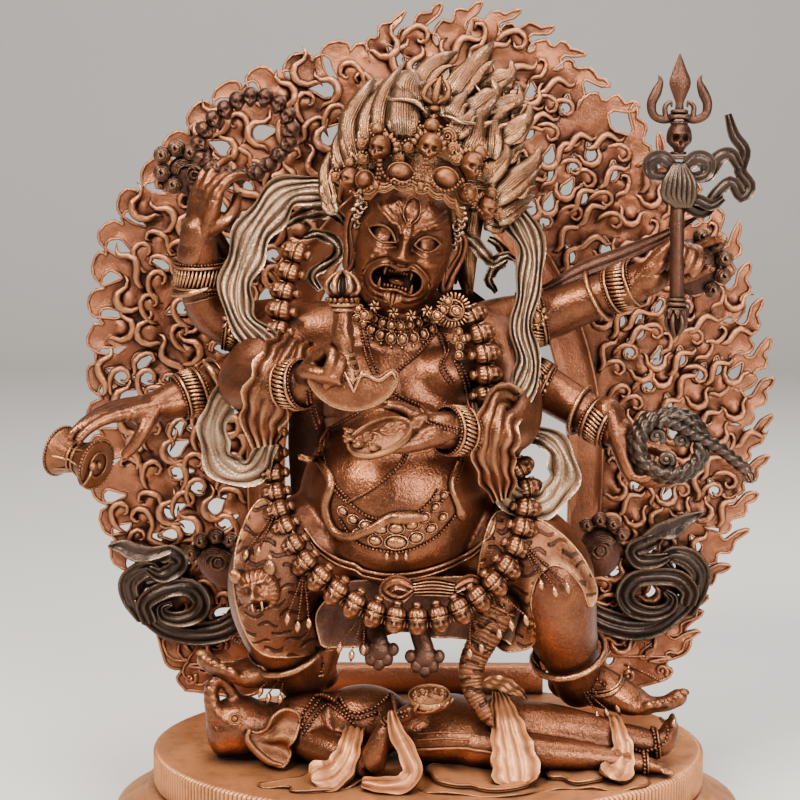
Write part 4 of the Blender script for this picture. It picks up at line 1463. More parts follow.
# A woven band round a limb: two cords, slanting stitches between them, and a row of beads beside each
def cuff(shape, middle, heading, reach, wide, beads=True):
    heading = unit(np.asarray(heading, float))
    middle = np.asarray(middle, float)
    for k in (-1, 1):
        shape.tube(limbRing(middle + k * wide * heading, heading, reach + 0.3, 36)[:-1], 0.55, 0.55, 7, closed=True)
        if beads:
            ring = limbRing(middle + k * (wide + 1.1) * heading, heading, reach + 0.2, 40)
            beadsAlong(shape, ring, 0.48, 1.1, template=tinyBead)
    count = int(2 * math.pi * reach / 1.25)
    for k in range(count):
        a = 2 * math.pi * k / count
        path = [limbRing(middle + s * wide * 0.82 * heading, heading, reach + 0.35, 1, start=a + 0.10 * s)[0]
                for s in (-1, 0, 1)]
        shape.tube(path, [0.42, 0.6, 0.42], [0.42, 0.6, 0.42], 6, ("flat", "flat"))


# A snake wound round a limb, its head lifted off at the end
def snake(shape, middle, heading, reach, size, turns=1.3, start=2.0, rise=3.0):
    ring = limbRing(middle, heading, reach + size * 0.5, 44, start=start, end=start + 2 * math.pi * turns, rise=rise)
    tail = np.linspace(0, 1, 44)
    sizes = size * np.interp(tail, [0, 0.25, 0.82, 0.9, 0.97, 1], [0.15, 0.8, 1.0, 1.5, 1.1, 0.3])
    lifted = ring + ((ring - middle) / reach) * (np.clip(tail - 0.85, 0, 1) * 9)[:, None]
    shape.tube(lifted, sizes, sizes * 0.8, 9)


# A cabochon in a wire setting, laid flat on the skin at x, z
cabochon = egg(14, 7)


def gem(shape, spot, wide, high, lean=0.0, thick=0.9, wire=0.26):
    axes = np.array(Matrix.Rotation(lean, 3, "Y"))
    shape.copies(cabochon, [spot], [axes], [(wide, thick, high)])
    rim = [np.asarray(spot) + axes @ np.array([1.2 * wide * math.cos(t), 0.1, 1.2 * high * math.sin(t)])
           for t in np.arange(16) * math.pi / 8]
    shape.tube(rim, wire, wire, 5, closed=True)


def drop(shape, spot, size, way=(0, 0, -1)):
    way = unit(np.asarray(way, float))
    path = curve([(*spot, size * 0.25), (*(spot + way * size * 0.9), size * 0.8), (*(spot + way * size * 1.9), size * 0.75),
                  (*(spot + way * size * 3.2), size * 0.1)], 10)
    shape.tube(path, path[:, 3], path[:, 3], 9, form=lambda along, turn: 1 + 0.08 * np.cos(4 * turn))


# Strings of beads that hang from one point and end in pointed drops
def tassel(shape, start, ends, sag=1.5, size=0.42):
    for end in ends:
        start, end = np.asarray(start, float), np.asarray(end, float)
        middle = (start + end) / 2 - [0, 0, sag * 0.3]
        path = curve([start, middle + (end - start) @ np.ones(3) * 0.0, end], 16)
        beadsAlong(shape, path, size, template=tinyBead)
        drop(shape, end, 1.15, unit(end - start) * 0.4 + [0, 0, -0.8])


jewels = {
    "necklaces": [  # x, z of a row of cabochons, their half width
        ([(-26, 144), (-22.5, 139.5), (-16, 135.6), (-9.5, 134.2), (-2.5, 135.6), (4.0, 139.6), (7.6, 144)], 1.35),
        ([(-24, 147), (-20.5, 142.6), (-15.7, 139.6), (-9.5, 138.4), (-3, 139.8), (2.6, 143.4), (5, 147)], 1.05)],
    "strings": [  # x, z of double strings of beads
        [(-21.5, 137.5), (-19.6, 130), (-17, 124), (-15.6, 121.6)], [(2.2, 137), (-3.2, 130.5), (-9.5, 125.6), (-13.4, 121.6)],
        [(-17, 117.2), (-21.5, 112.5), (-27.6, 108.4), (-33.2, 104.6)], [(-12.2, 118), (-3, 113.6), (7.4, 110), (14, 104)],
        [(3.2, 135.6), (5.2, 131), (3.4, 126.5), (6.6, 121.5)], [(-33.5, 104), (-33.8, 98), (-31.0, 92), (-26.0, 87)],
        [(8.2, 128), (11.2, 121), (12.2, 114), (11.2, 108)], [(-36.5, 122), (-36.2, 114), (-34.6, 108)],
        [(-6.6, 105.0), (-8.6, 99.0), (-14.2, 93.6), (-20.4, 89.2), (-25.2, 86.4)], [(10.8, 104), (9.8, 97), (6.2, 90), (1.2, 84)]],
    "belt": [  # x, z, half width, half height, lean
        (-26.8, 83.2, 1.5, 1.15, 0.6), (-23.6, 80.9, 1.6, 1.25, 0.45), (-19.6, 79.4, 1.9, 1.4, 0.2),
        (-15.3, 78.6, 2.0, 1.5, 0.1), (-10.6, 78.9, 2.2, 1.6, -0.05), (-5.9, 79.9, 1.9, 1.5, -0.15),
        (-2.0, 82.0, 1.5, 1.3, -0.5), (1.3, 85.0, 1.3, 1.1, -0.6), (3.8, 88.4, 1.1, 0.9, -0.9),
        (-22.0, 76.6, 1.6, 1.3, 0.4), (-16.9, 75.0, 1.9, 1.5, 0.2), (-10.5, 74.6, 3.0, 1.9, 0.0),
        (-4.5, 75.9, 2.0, 1.5, -0.25), (0.0, 78.4, 1.7, 1.3, -0.45), (3.6, 81.6, 1.4, 1.15, -0.6)],
    "cuffs": [  # middle, heading, half width of the limb, half length of the band
        ((-73.9, 10.5, 152.5), (0, -0.1, 1), 8.0, 3.4), ((-62.6, 13.9, 136.4), (-1, 0, 0.15), 8.4, 2.6),
        ((62.0, 5.0, 149.6), (0.8, -0.4, 0.35), 7.0, 3.4), ((33.5, 11.6, 138.8), (1, 0, 0.2), 8.9, 2.6),
        ((-76.5, 0.3, 115.6), (-0.85, -0.4, -0.3), 7.0, 3.0), ((-56.0, 11.0, 122.6), (-1, -0.1, -0.25), 8.2, 2.6),
        ((55.0, -0.4, 106.4), (0.8, -0.5, -0.35), 6.8, 3.0), ((34.5, 10.3, 117.6), (1, -0.15, -0.5), 8.0, 2.6),
        ((-41.6, -33.0, 122.7), (0.8, -0.55, 0.15), 7.1, 2.8), ((7.4, -32.8, 108.9), (-0.75, -0.6, 0.1), 7.0, 2.8)],
    "snakes": [  # middle, heading, half width, thickness, turns, start
        ((52.5, 8.7, 145.6), (0.85, -0.3, 0.4), 7.6, 1.15, 1.2, 3.6), ((-74.4, 12.9, 146.0), (-0.2, -0.2, 1), 8.1, 1.0, 1.2, 1.0),
        ((47.0, 4.8, 110.8), (0.8, -0.4, -0.4), 7.3, 1.1, 1.2, 3.4), ((-67.6, 6.2, 118.6), (-0.85, -0.4, -0.3), 7.4, 1.1, 1.2, 1.5),
        ((-45.6, -11.6, 37.0), (0.3, 0.4, -1), 11.9, 1.3, 1.25, 2.2), ((44.4, -12.2, 35.5), (0.3, 0.4, -1), 10.9, 1.3, 1.25, 2.6)],
}


def makeJewels():
    gems, strings, bands = Shape(), Shape(), Shape()
    for line, size in jewels["necklaces"]:
        path = onBody(line, 0.7)
        spots = curve(path, int(runLength(path) / (size * 2.5)))
        for k, spot in enumerate(spots):
            step = spots[min(k + 1, len(spots) - 1)] - spots[max(k - 1, 0)]
            gem(gems, spot, size, size * 1.15, -math.atan2(step[2], step[0]))
            gems.copies(tinyBead, [spot + [0, -0.2, -size * 1.9]], sizes=0.5)
        beadsAlong(gems, path + [0, -0.2, size * 1.7], 0.45, template=tinyBead)
    for line in jewels["strings"]:
        for shift in (-0.62, 0.62):
            path = onBody(np.asarray(line, float) + [shift, shift * 0.6], 0.45)
            beadsAlong(strings, path, 0.52, template=tinyBead)
    for x, z, wide, high, lean in jewels["belt"]:
        gem(gems, onBody([(x, z), (x + 0.2, z)], 0.6, 2)[0], wide, high, lean, 1.1)
    for line in ([(-26, 86.8), (-20, 82.6), (-13, 81.4), (-6, 82.8), (-1, 86), (2, 90)],
                 [(-28, 80.5), (-22.5, 73.8), (-14, 71.6), (-7, 71.8), (0, 74.6), (5, 78.4), (9.4, 84)]):
        beadsAlong(strings, onBody(line, 0.45), 0.55, template=tinyBead)
    for x in (-13.4, -10.4, -7.6):
        spot = onBody([(x, 71.4), (x + 0.1, 71.2)], 0.8, 2)[0]
        drop(strings, spot, 0.9)
    # the wheel on the breast: two rims, spokes, a hub, beads round it
    hub = onBody([(-15, 119.7), (-14.9, 119.7)], 1.2, 2)[0]
    for reach, size in ((3.4, 0.5), (2.0, 0.32)):
        gems.tube(limbRing(hub, (0, 1, 0), reach, 33)[:-1], size, size, 7, closed=True)
    for k in range(8):
        way = np.array([math.cos(k * math.pi / 4), 0, math.sin(k * math.pi / 4)])
        gems.tube([hub + way * 0.8, hub + way * 2.0, hub + way * 3.2], [0.35, 0.5, 0.3], 0.35, 6, ("flat", "flat"))
    gems.copies(egg(12, 6), [hub], sizes=[(1.1, 0.8, 1.1)])
    beadsAlong(gems, limbRing(hub, (0, 1, 0), 4.3, 33), 0.42, template=tinyBead)
    for middle, heading, reach, wide in jewels["cuffs"]:
        cuff(bands, middle, heading, reach, wide)
    for middle, heading, reach, size, turns, start in jewels["snakes"]:
        snake(bands, middle, heading, reach, size, turns, start)
    # armlets' front plates: a gem in leaves
    for x, y, z in ((-62.8, 5.0, 138), (33.8, 2.2, 140), (-56.5, 2.4, 123.6), (34.6, 1.8, 118.6)):
        gem(gems, (x, y, z), 1.7, 2.2)
        for k in range(9):
            turn = k * math.pi * 2 / 9
            lock(gems, [(x + 1.8 * math.cos(turn), y + 0.2, z + 2.2 * math.sin(turn), 0.4),
                        (x + 3.0 * math.cos(turn), y - 0.1, z + 3.4 * math.sin(turn), 0.75),
                        (x + 4.1 * math.cos(turn), y + 0.2, z + 4.7 * math.sin(turn), 0.12)], 6, 0.9, 0.6)
    # earring on the viewer's right: a ring of radial beads round a dished disc, a pendant below
    ear = np.array([7.0, -13.5, 143.6])
    for k in range(26):
        turn = 2 * math.pi * k / 26
        way = np.array([math.cos(turn), 0, math.sin(turn)])
        gems.tube([ear + way * 3.3, ear + way * 4.3, ear + way * 5.3], [0.35, 0.5, 0.42], 0.42, 6, ("flat", "round"))
    gems.tube(limbRing(ear, (0, 1, 0), 3.1, 33)[:-1], 0.5, 0.6, 7, closed=True)
    gems.copies(egg(20, 8), [ear + [0, 0.9, 0]], sizes=[(2.9, 0.8, 2.9)])
    for k, (x, z) in enumerate(((8.6, 136.9), (10.2, 134.6), (7.4, 134.6), (9.0, 132.4), (8.8, 129.6))):
        gem(gems, (x, -14.5, z), 1.0, 1.1)
    # small rosettes of flame under the chin
    for x, z in ((-17.4, 145.2), (-11.6, 143.4), (-6.2, 142.4), (-1.2, 143.8)):
        for k in range(6):
            turn = k * math.pi / 3 + 0.5
            gems.tube([(x + 0.4 * math.cos(turn), -19.0, z + 0.4 * math.sin(turn)),
                       (x + 1.1 * math.cos(turn), -19.4, z + 1.1 * math.sin(turn)),
                       (x + 1.9 * math.cos(turn + 0.3), -19.2, z + 1.9 * math.sin(turn + 0.3))], [0.35, 0.5, 0.1], 0.35, 6)
    # tassels at the knees, below the garland and on the insteps
    for start, ends in (((-38.5, -32, 66), [(-43.5, -34, 52.5), (-40.5, -34, 50), (-37.2, -34, 51)]),
                        ((-20, -34, 54), [(-27.5, -33, 43), (-24, -34, 41), (-20.5, -33, 42.5)]),
                        ((18.5, -32, 62), [(24.5, -33.5, 50.5), (28.8, -33.5, 52), (21, -33, 47.5)]),
                        ((12, -33, 54), [(15.6, -31, 42.5), (12.2, -32, 41)]),
                        ((28, -28, 74), [(33.5, -33, 63), (37.5, -34, 61), (41.2, -34, 62.5)]),
                        ((-47, -22, 84), [(-52.5, -29, 72), (-56.2, -29, 71), (-49.0, -31, 70.5)]),
                        ((-46, -13, 29), [(-53, -18.5, 24.5), (-50.5, -20.5, 23.2), (-47, -20, 22.5)]),
                        ((48, -12, 24), [(56, -18.5, 17.5), (53, -19, 16.8), (59.5, -17.5, 18.6)])):
        tassel(strings, start, ends)
    return gems, strings, bands


gems, strings, bands = makeJewels()
print("jewellery", gems.triangles(), strings.triangles(), bands.triangles())
piece("gems", gems, finishes["warm"], sharp=180, keep=0.62)
piece("beadStrings", strings, finishes["warm"], sharp=180, keep=0.72)
piece("cuffs", bands, finishes["warm"], sharp=180, keep=0.5)
print("jewellery ready")


# A pleated band carried along a path (x, y, z, half width). normal says which way its face looks; rolled
# edges and pleats run along it.
def ribbon(shape, points, pleats=4, thick=0.9, depth=0.75, normal=(0, -1, 0), rows=None, wave=0.0, ends=("flat", "flat")):
    rows = rows or max(10, int(runLength(points) / 1.5))
    path = curve(points, rows)
    heading, face, across = axesAlong(path[:, :3], normal)
    m = pleats * 6 + 2
    u = np.linspace(-1, 1, m)
    ridge = depth * (np.abs(np.cos((u + 1) / 2 * math.pi * pleats)) ** 0.8 - 0.5)
    ridge[[0, -1]] += 0.15
    front = np.concatenate([ridge + thick / 2, (-0.35 * ridge - thick / 2)[::-1]])
    side = np.concatenate([u, u[::-1]])
    along = np.linspace(0, 1, rows)[:, None]
    sway = wave * np.sin(along * 19 + side[None, :] * 2)
    wide = side[None, :] * path[:, 3:4] * (1 + 0.22 * wave * np.sin(along * 31 + 1.4 * side[None, :]))
    g = (path[:, None, :3] + wide[..., None] * across[:, None, :]
         + (front[None, :] + sway)[..., None] * face[:, None, :])
    return shape.grid(g, ends)


# Cloth lying on the body: a patch inside an outline (x, z), its face raised by relief(points)
def patch(shape, wires, outline, lift, relief=None, fallback=-20.0, rim=0.42, net=1.3, thick=1.4, depth=None, holes=()):
    loops = [level(line, int(runLength(np.column_stack([line, np.zeros(len(line))])) / 1.1), True) for line in (outline, *holes)]
    edge = loops[0]
    low, high = edge.min(0), edge.max(0)
    gx, gz = np.meshgrid(np.arange(low[0], high[0], net), np.arange(low[1], high[1], net * 0.87))
    gx = gx + (np.arange(gx.shape[0]) % 2)[:, None] * net / 2
    inner = np.stack([gx.ravel(), gz.ravel()], 1)
    inner = inner[insideOf(inner, edge)]
    links = []
    for k, loop in enumerate(loops):
        inner = inner[distanceTo(inner, loop, True) > 0.6]
        if k:
            inner = inner[~insideOf(inner, loop)]
        first, many = sum(len(line) for line in loops[:k]), len(loop)
        links += [(first + i, first + (i + 1) % many) for i in range(many)]
    points, _, faces, *_ = delaunay_2d_cdt([Vector(p) for p in np.vstack([*loops, inner])], links, [], 0, 1e-5)
    points = np.array([tuple(p) for p in points])
    faces = np.array([list(f) for f in faces if len(f) == 3])
    faces = faces[insideOf(points[faces].mean(1), edge)]
    for loop in loops[1:]:
        faces = faces[~insideOf(points[faces].mean(1), loop)]
    y = np.full(len(points), fallback if depth is None else depth, float)
    for k, (x, z) in enumerate(points if depth is None else []):
        hit = bodyTree.ray_cast(Vector((x, -90, z)), Vector((0, 1, 0)))[0]
        y[k] = hit.y if hit else np.nan
    # where the cloth hangs clear of the body it goes on smoothly from where it last lay on it
    lost = np.isnan(y)
    if lost.any() and not lost.all():
        known, knownY = points[~lost], y[~lost]
        for k in np.nonzero(lost)[0]:
            away = ((known - points[k]) ** 2).sum(1)
            near = np.argsort(away)[:6]
            share = ease(np.sqrt(away[near[0]]), 0, 14)
            y[k] = knownY[near].mean() * (1 - share) + fallback * share
    for _ in range(6):
        total, count = np.zeros(len(points)), np.zeros(len(points))
        for i, j in ((0, 1), (1, 2), (2, 0)):
            np.add.at(total, faces[:, i], y[faces[:, j]])
            np.add.at(total, faces[:, j], y[faces[:, i]])
            np.add.at(count, faces[:, i], 1)
            np.add.at(count, faces[:, j], 1)
        y = np.minimum(y, 0.4 * y + 0.6 * total / np.maximum(count, 1)) if _ < 3 else 0.5 * y + 0.5 * total / np.maximum(count, 1)
    front = y - lift - (relief(points) if relief else 0)
    face = np.column_stack([points[:, 0], front, points[:, 1]])
    rear = face + [0, thick, 0]
    a, b, c = (face[faces[:, i]] for i in range(3))
    turned = np.cross(b - a, c - a)[:, 1] > 0
    faces[turned] = faces[turned][:, ::-1]
    pairs = np.vstack([faces[:, [0, 1]], faces[:, [1, 2]], faces[:, [2, 0]]]).astype(np.int64)
    open_ = pairs[~np.isin(pairs[:, 0] * len(points) + pairs[:, 1], pairs[:, 1] * len(points) + pairs[:, 0])]
    n = len(points)
    walls = np.stack([open_[:, 1], open_[:, 0], open_[:, 0] + n, open_[:, 1] + n], 1)
    shape.add(np.vstack([face, rear]), faces, faces[:, ::-1] + n, walls, outward=False)
    for loop in loops:
        border = face[[int(np.argmin(((points - p) ** 2).sum(1))) for p in loop]]
        wires.tube(border + [0, 0.2, 0], rim, rim, 6, closed=True, hint=(0, 1, 0))


def stripes(p):
    # short wavy cuts side by side, as on a tiger's coat
    x, z = p[:, 0], p[:, 1]
    z = z + 0.55 * np.sin(1.15 * x)
    row = np.floor(z / 2.9)
    cut = ease(np.cos((z / 2.9 - row - 0.5) * 2 * math.pi), 0.55, 0.95)
    part = ease(np.sin(0.62 * x + 2.4 * row), -0.35, 0.1)
    return -0.3 * cut * part + 0.45 * np.sin(x / 4.0 + 0.6 * np.sin(z / 7)) * np.sin(z / 9.0)


def drapery(p):
    x, z = p[:, 0], p[:, 1]
    return 0.75 * np.abs(np.sin(x / 3.4 + 0.9 * np.sin(z / 9))) * ease(62 - z, 0, 14) + stripes(p) * 0.5


skirt = {
    "left": [(-52.4, 85), (-44, 78.5), (-37.5, 70.5), (-29.5, 60), (-24.5, 50), (-24.6, 41), (-29.0, 36.8),
             (-35.3, 35.4), (-44.1, 36.0), (-52.9, 38.6), (-58.2, 48.9), (-60.4, 62.4), (-58.8, 75)],
    "middle": [(-30.6, 61.5), (-18.8, 52.9), (-6.4, 50.4), (6, 52.4), (17.3, 58.9), (22.5, 52.5), (23.5, 44), (22.5, 37),
               (16.5, 38.2), (10.5, 37.2), (4.6, 40.2), (-1.6, 42.8), (-9.5, 43.5), (-17.4, 42.2), (-24.6, 38.6), (-27.5, 46)],
    "right": [(20.9, 80.8), (31.3, 80.2), (40.3, 75.5), (47.5, 67.5), (51.5, 57.9), (49.3, 53), (46.4, 60.0), (41.5, 65.6),
              (36.8, 66.8), (32.6, 62.7), (31.1, 54.7), (32.8, 46), (32.3, 39.4), (26.8, 37.2), (21.3, 38.0), (18.5, 46),
              (15.2, 58.1), (16.3, 70.7)],
}


def makeSkirt():
    cloth, wires, coat, low = Shape(), Shape(), Shape(), Shape()
    patch(coat, wires, skirt["left"], 1.0, stripes)
    patch(coat, wires, skirt["middle"], 0.4, drapery, fallback=-22)
    patch(coat, wires, skirt["right"], 1.0, stripes)
    # the skirt's hem, which hangs below the garland between the thighs, with shallow pleats
    hem = [(-35.1, 49.8), (-34.5, 40.8), (-32.7, 38.2), (-26.7, 38.0), (-19.5, 39.2), (-14.5, 41.6), (-9.5, 43.4), (-3.2, 42.4),
           (3, 41.4), (10.9, 41), (18.7, 41.8), (23.4, 40.8), (26.2, 39.2), (29.3, 44.7), (28, 52.4), (21.7, 58.8), (6.1, 60.7),
           (-9.5, 60.1), (-25.1, 58.8)]
    patch(low, wires, hem, 0.0, lambda p: 0.8 * np.sin(p[:, 0] / 1.9 + 0.9 * np.sin(p[:, 1] / 5)), depth=-20.5, thick=1.6)
    # the sash round the belly: a thin wavy edge, and a bow of pleats below its middle
    rim = [(-38.5, 77), (-34.4, 71.8), (-28.4, 67.4), (-23.1, 66.2), (-20.7, 64.6), (-13.7, 63.4),
           (-7.9, 63.6), (-2.7, 64.3), (4.3, 65.9), (11.4, 67.8), (16.4, 71.9), (19.5, 75.6), (21.4, 84)]
    path = onBody(rim, 0.8)
    wires.tube(path, 0.6, 0.6, 8)
    wires.tube(path + [0, -0.1, -1.7], 0.35, 0.35, 6)
    ribbon(cloth, [(-5, -33.5, 60.6, 2.2), (1, -34, 61.2, 2.7), (7, -33.5, 60.4, 2.2)], 5, 1.6, 0.8)
    for points in ([(-5.4, -33.5, 60.5, 1.4), (-10.5, -33.8, 62.5, 2.2), (-14.0, -33, 59.5, 1.8), (-9.5, -33.6, 57.4, 1.5), (-5.5, -33.8, 60, 1.0)],
                   [(7.4, -33.5, 60.5, 1.4), (12, -32.5, 62.5, 2.0), (15.2, -31, 60, 1.7), (11.2, -32.4, 57.8, 1.4), (7.4, -33.4, 60, 1.0)]):
        ribbon(cloth, points, 2, 1.0, 0.6, rows=22)
    # the tiger's tail, ridged across, and its paws
    tail = curve([(21.5, -24, 52.3, 6.2), (17.0, -25.4, 43, 5.0), (13.0, -26.6, 34.0, 4.1), (13.6, -28, 25.8, 3.2),
                  (17.2, -30, 19.6, 2.4), (19.2, -31, 16.2, 0.8)], 150)
    ripple = np.abs(np.sin(np.linspace(0, 30 * math.pi, 150) + 0.6 * np.sin(np.linspace(0, 40, 150)))) ** 0.5
    coat.tube(tail, tail[:, 3] * (0.93 + 0.07 * ripple), tail[:, 3] * (0.54 + 0.1 * ripple), 18, hint=(0, 1, 0))
    for (x, y, z), (tx, ty, tz) in (((-17.4, -25, 46.4), (-15.8, -27, 38.8)), ((-3.8, -25, 45.8), (-1.6, -27, 36.6))):
        low.tube(curve([(x, y + 1, z, 2.0), ((x + tx) / 2, y - 0.5, (z + tz) / 2 + 1, 2.3), (tx, ty, tz + 2.5, 2.9),
                          (tx, ty, tz + 1, 2.4)], 16), 3.0, 2.2, 14, hint=(0, 1, 0))
        low.copies(egg(16, 10), [(tx, ty, tz)], sizes=[(4.4, 3.0, 4.0)])
        for a, rise, size in ((-1.75, 0.8, 1.9), (-0.95, -2.2, 2.1), (0.0, -3.6, 2.1), (0.95, -2.2, 2.1), (1.75, 0.8, 1.9)):
            low.copies(egg(12, 8), [(tx + 3.0 * a / 1.2, ty - 1.2, tz + rise)], sizes=[(size, 1.5, size * 1.15)])
    # the snake over the belly, and a smaller one beside it
    for line, size in (([(-40.1, 98.7), (-34.5, 96.4), (-30.6, 91.5), (-32.4, 84), (-30.3, 77.2), (-25.4, 75.4), (-18.4, 78.4),
                         (-12, 81.8), (-5, 82.0), (-2.4, 81.9)], 1.45),
                       ([(8.5, 97.1), (6.3, 91.4), (8.3, 85.2), (9.9, 80.2)], 1.1)):
        path = onBody(line, 1.0)
        share = np.linspace(0, 1, len(path))
        wide = size * np.interp(share, [0, 0.2, 0.75, 0.93, 1], [0.7, 1, 1.05, 1.55, 0.9])
        cloth.tube(path, wide, wide * np.interp(share, [0, 0.8, 1], [0.85, 0.7, 0.4]), 12, hint=(0, 1, 0),
                   form=lambda along, turn: 1 + 0.03 * np.cos(60 * along * math.pi))
    return cloth, wires, coat, low


# The tiger's mask over the left knee: brow, round eyes, muzzle, ears, fangs
def makeMask():
    s = np.linspace(-1, 1, 60, endpoint=False)[None, :]
    turn = math.pi * (0.55 * s + 0.45 * s ** 3)
    fall = np.linspace(-1, 1, 44)[:, None] * math.pi / 2 * 0.97
    full = np.cos(fall) ** 0.75
    v = np.sin(fall) + 0 * turn
    a, f = 1.05 * np.sin(turn) * full, 0.6 * np.cos(turn) * full
    p = np.stack([np.abs(a), v], -1)
    rise = 0.2 * hill(p, (0.4, 0.42), (0.3, 0.1)) - 0.25 * hill(p, (0.4, 0.2), (0.22, 0.14))
    rise += 0.24 * hill(p, (0.4, 0.2), (0.11, 0.1)) + 0.42 * hill(p, (0.0, -0.15), (0.3, 0.24)) + 0.2 * hill(p, (0, 0.1), (0.14, 0.35))
    rise += 0.2 * hill(p, (0.27, -0.36), (0.2, 0.14)) - 0.5 * hill(p, (0.0, -0.66), (0.36, 0.12))
    rise += 0.05 * np.cos(24 * np.arctan2(v + 0.1, a)) * ease(np.hypot(a, v + 0.1), 0.55, 0.8)
    g = np.stack([a, -(f + rise * ease(np.cos(turn), 0, 0.4)), v], -1)
    mask = Shape().grid(g, ("flat", "flat"))
    for side in (-1, 1):
        mask.copies(egg(12, 7), [(side * 0.85, -0.1, 0.85)], [np.array(Matrix.Rotation(side * 0.5, 3, "Y"))], [(0.3, 0.2, 0.42)])
        mask.tube([(side * 0.24, -0.72, -0.5), (side * 0.24, -0.8, -0.68), (side * 0.22, -0.8, -0.84)], [0.08, 0.06, 0.01], None, 6)
    lean = np.array(Matrix.Rotation(-0.25, 3, "Z") @ Matrix.Rotation(-0.3, 3, "Y"))
    return Shape().copies(mask, [(-52.5, -32.5, 59.5)], [lean], 6.6)


scarves = {
    "bands": [  # path with half width, pleats, the way its face looks
        ([(-30, 6, 178.5, 3.0), (-37, 6, 180.6, 4.4), (-46, 7, 178.6, 5.6), (-53.5, 5, 170.5, 6.2), (-58.5, 3, 160.6, 6.0),
          (-61.4, 0, 150.6, 5.4), (-60.2, -5, 141.3, 4.6), (-53.2, -11, 134.2, 4.4), (-46.4, -17.5, 129.8, 4.6)], 5, (0.1, -1, 0.1)),
        ([(-41, -19.5, 134.4, 6.0), (-43.5, -29, 132.0, 7.0), (-46.6, -34.5, 125.0, 7.6), (-49.4, -34.5, 117.4, 7.4),
          (-51.0, -31, 109.7, 6.2), (-50.2, -29, 104.0, 3.6)], 4, (-0.2, -1, 0)),
        ([(-54.5, -26, 113.5, 3.6), (-59.4, -22, 118.6, 3.8), (-65.0, -18, 114.7, 4.2), (-67.7, -16, 105.5, 4.6),
          (-65.8, -15, 96.6, 4.8), (-59.5, -15, 92.4, 4.6), (-53.2, -16, 95.4, 4.0), (-50.4, -18, 103.0, 3.2)], 3, (0, -1, 0)),
        ([(12.0, 6, 176.3, 2.6), (19.2, 7, 177.3, 4.0), (27.4, 5, 171.4, 4.6), (32.2, 3, 160.0, 4.6), (30.6, -1, 148.6, 3.6),
          (28.6, -7, 136.3, 3.6), (30.6, -12, 126.3, 4.0), (27.3, -18, 119.1, 4.2), (20.8, -24, 116.2, 4.4)], 5, (0.1, -1, 0.1)),
        ([(24.0, -18, 114.4, 6.0), (21.4, -29.5, 115.6, 6.4), (19.4, -34.0, 108.0, 6.8), (18.8, -32, 100.2, 6.4),
          (20.6, -28, 92.2, 5.0), (21.6, -26, 87.0, 2.6)], 4, (0.1, -1, 0)),
        ([(20.6, -24, 97.4, 3.4), (23.0, -22, 89.4, 4.2), (29.0, -20, 83.6, 4.6), (37.2, -18, 84.8, 4.8), (41.6, -16, 91.8, 4.8),
          (40.6, -14, 99.2, 4.2), (35.2, -13, 104.3, 3.2), (29.8, -13, 103.9, 2.4)], 3, (0, -1, 0)),
        ([(9, 2, 167, 1.6), (14.5, -1, 163, 2.2), (19.5, 0, 158, 1.8), (23.5, -2, 160, 1.4), (26.5, 0, 158.5, 0.5)], 2, (0, -1, 0)),
        ([(-46.5, 16, 169.1, 1.6), (-41.9, 15, 171.7, 2.2), (-36, 14, 173, 2.4), (-30.5, 13, 172.4, 2.0), (-26.9, 12, 168.6, 1.0)], 2, (0, -1, 0)),
        ([(-40.6, 15, 164.9, 1.0), (-36.1, 14, 165.9, 1.8), (-31.5, 13, 164, 2.0), (-29.2, 13, 160.8, 2.0), (-32.2, 14, 156.9, 1.9),
          (-36.8, 15, 154.2, 1.8), (-38.2, 15, 151, 1.6), (-35.5, 14, 147.8, 0.8)], 2, (0, -1, 0)),
        ([(19, 14, 164.6, 1.0), (22.9, 14, 162, 1.6), (24.3, 15, 158.1, 1.8), (21, 14, 154.9, 1.8), (19.1, 13, 151.1, 1.6),
          (21.7, 13, 147.2, 0.8)], 2, (0, -1, 0)),
    ],
}


def makeScarves():
    shape, drapes = Shape(), Shape()
    for k, (points, pleats, normal) in enumerate(scarves["bands"]):
        over = k in (1, 4)   # the two that lie over the forearms are browner and thicker
        ribbon(drapes if over else shape, points, pleats, 1.8 if over else 1.3, 1.3 if over else 1.15, normal,
               wave=0.5 if over else 0.75)
    return shape, drapes


# The elephant's hide: a sheet behind the figure, and its four feet with their spiral nails
hide = {"feet": [  # middle, half width, half height, lean, nails (x, z, size) from the middle, eye (x, z)
    ((-78.5, 24, 184.5), 7.6, 6.6, 0.4, [(-8.5, 6.4, 2.6), (-3.9, 8.6, 2.6), (0.9, 7.0, 2.6), (-8.6, 0.8, 2.6), (-5.0, -3.2, 2.6)], (2.0, 0.2)),
    ((84.6, 8, 156.0), 8.6, 9.2, 0.1, [(6.4, 7.2, 2.4), (9.2, 2.6, 2.4), (9.0, -2.8, 2.3), (5.6, -7.4, 2.2), (1.6, 9.6, 2.3)], (-0.6, 1.2)),
    ((-70.0, 26, 53.5), 9.8, 7.2, 0.75, [(-6.5, 8.8, 2.3), (-1.4, 10.4, 2.4), (3.4, 9.0, 2.3), (-9.8, 4.6, 2.2)], (-0.6, 1.6)),
    ((58.5, 27, 58.0), 7.2, 8.8, -0.1, [(-5.0, 9.8, 2.1), (-0.6, 11.6, 2.2), (3.8, 10.2, 2.1), (7.0, 6.4, 2.0)], (-0.4, 1.2)),
]}


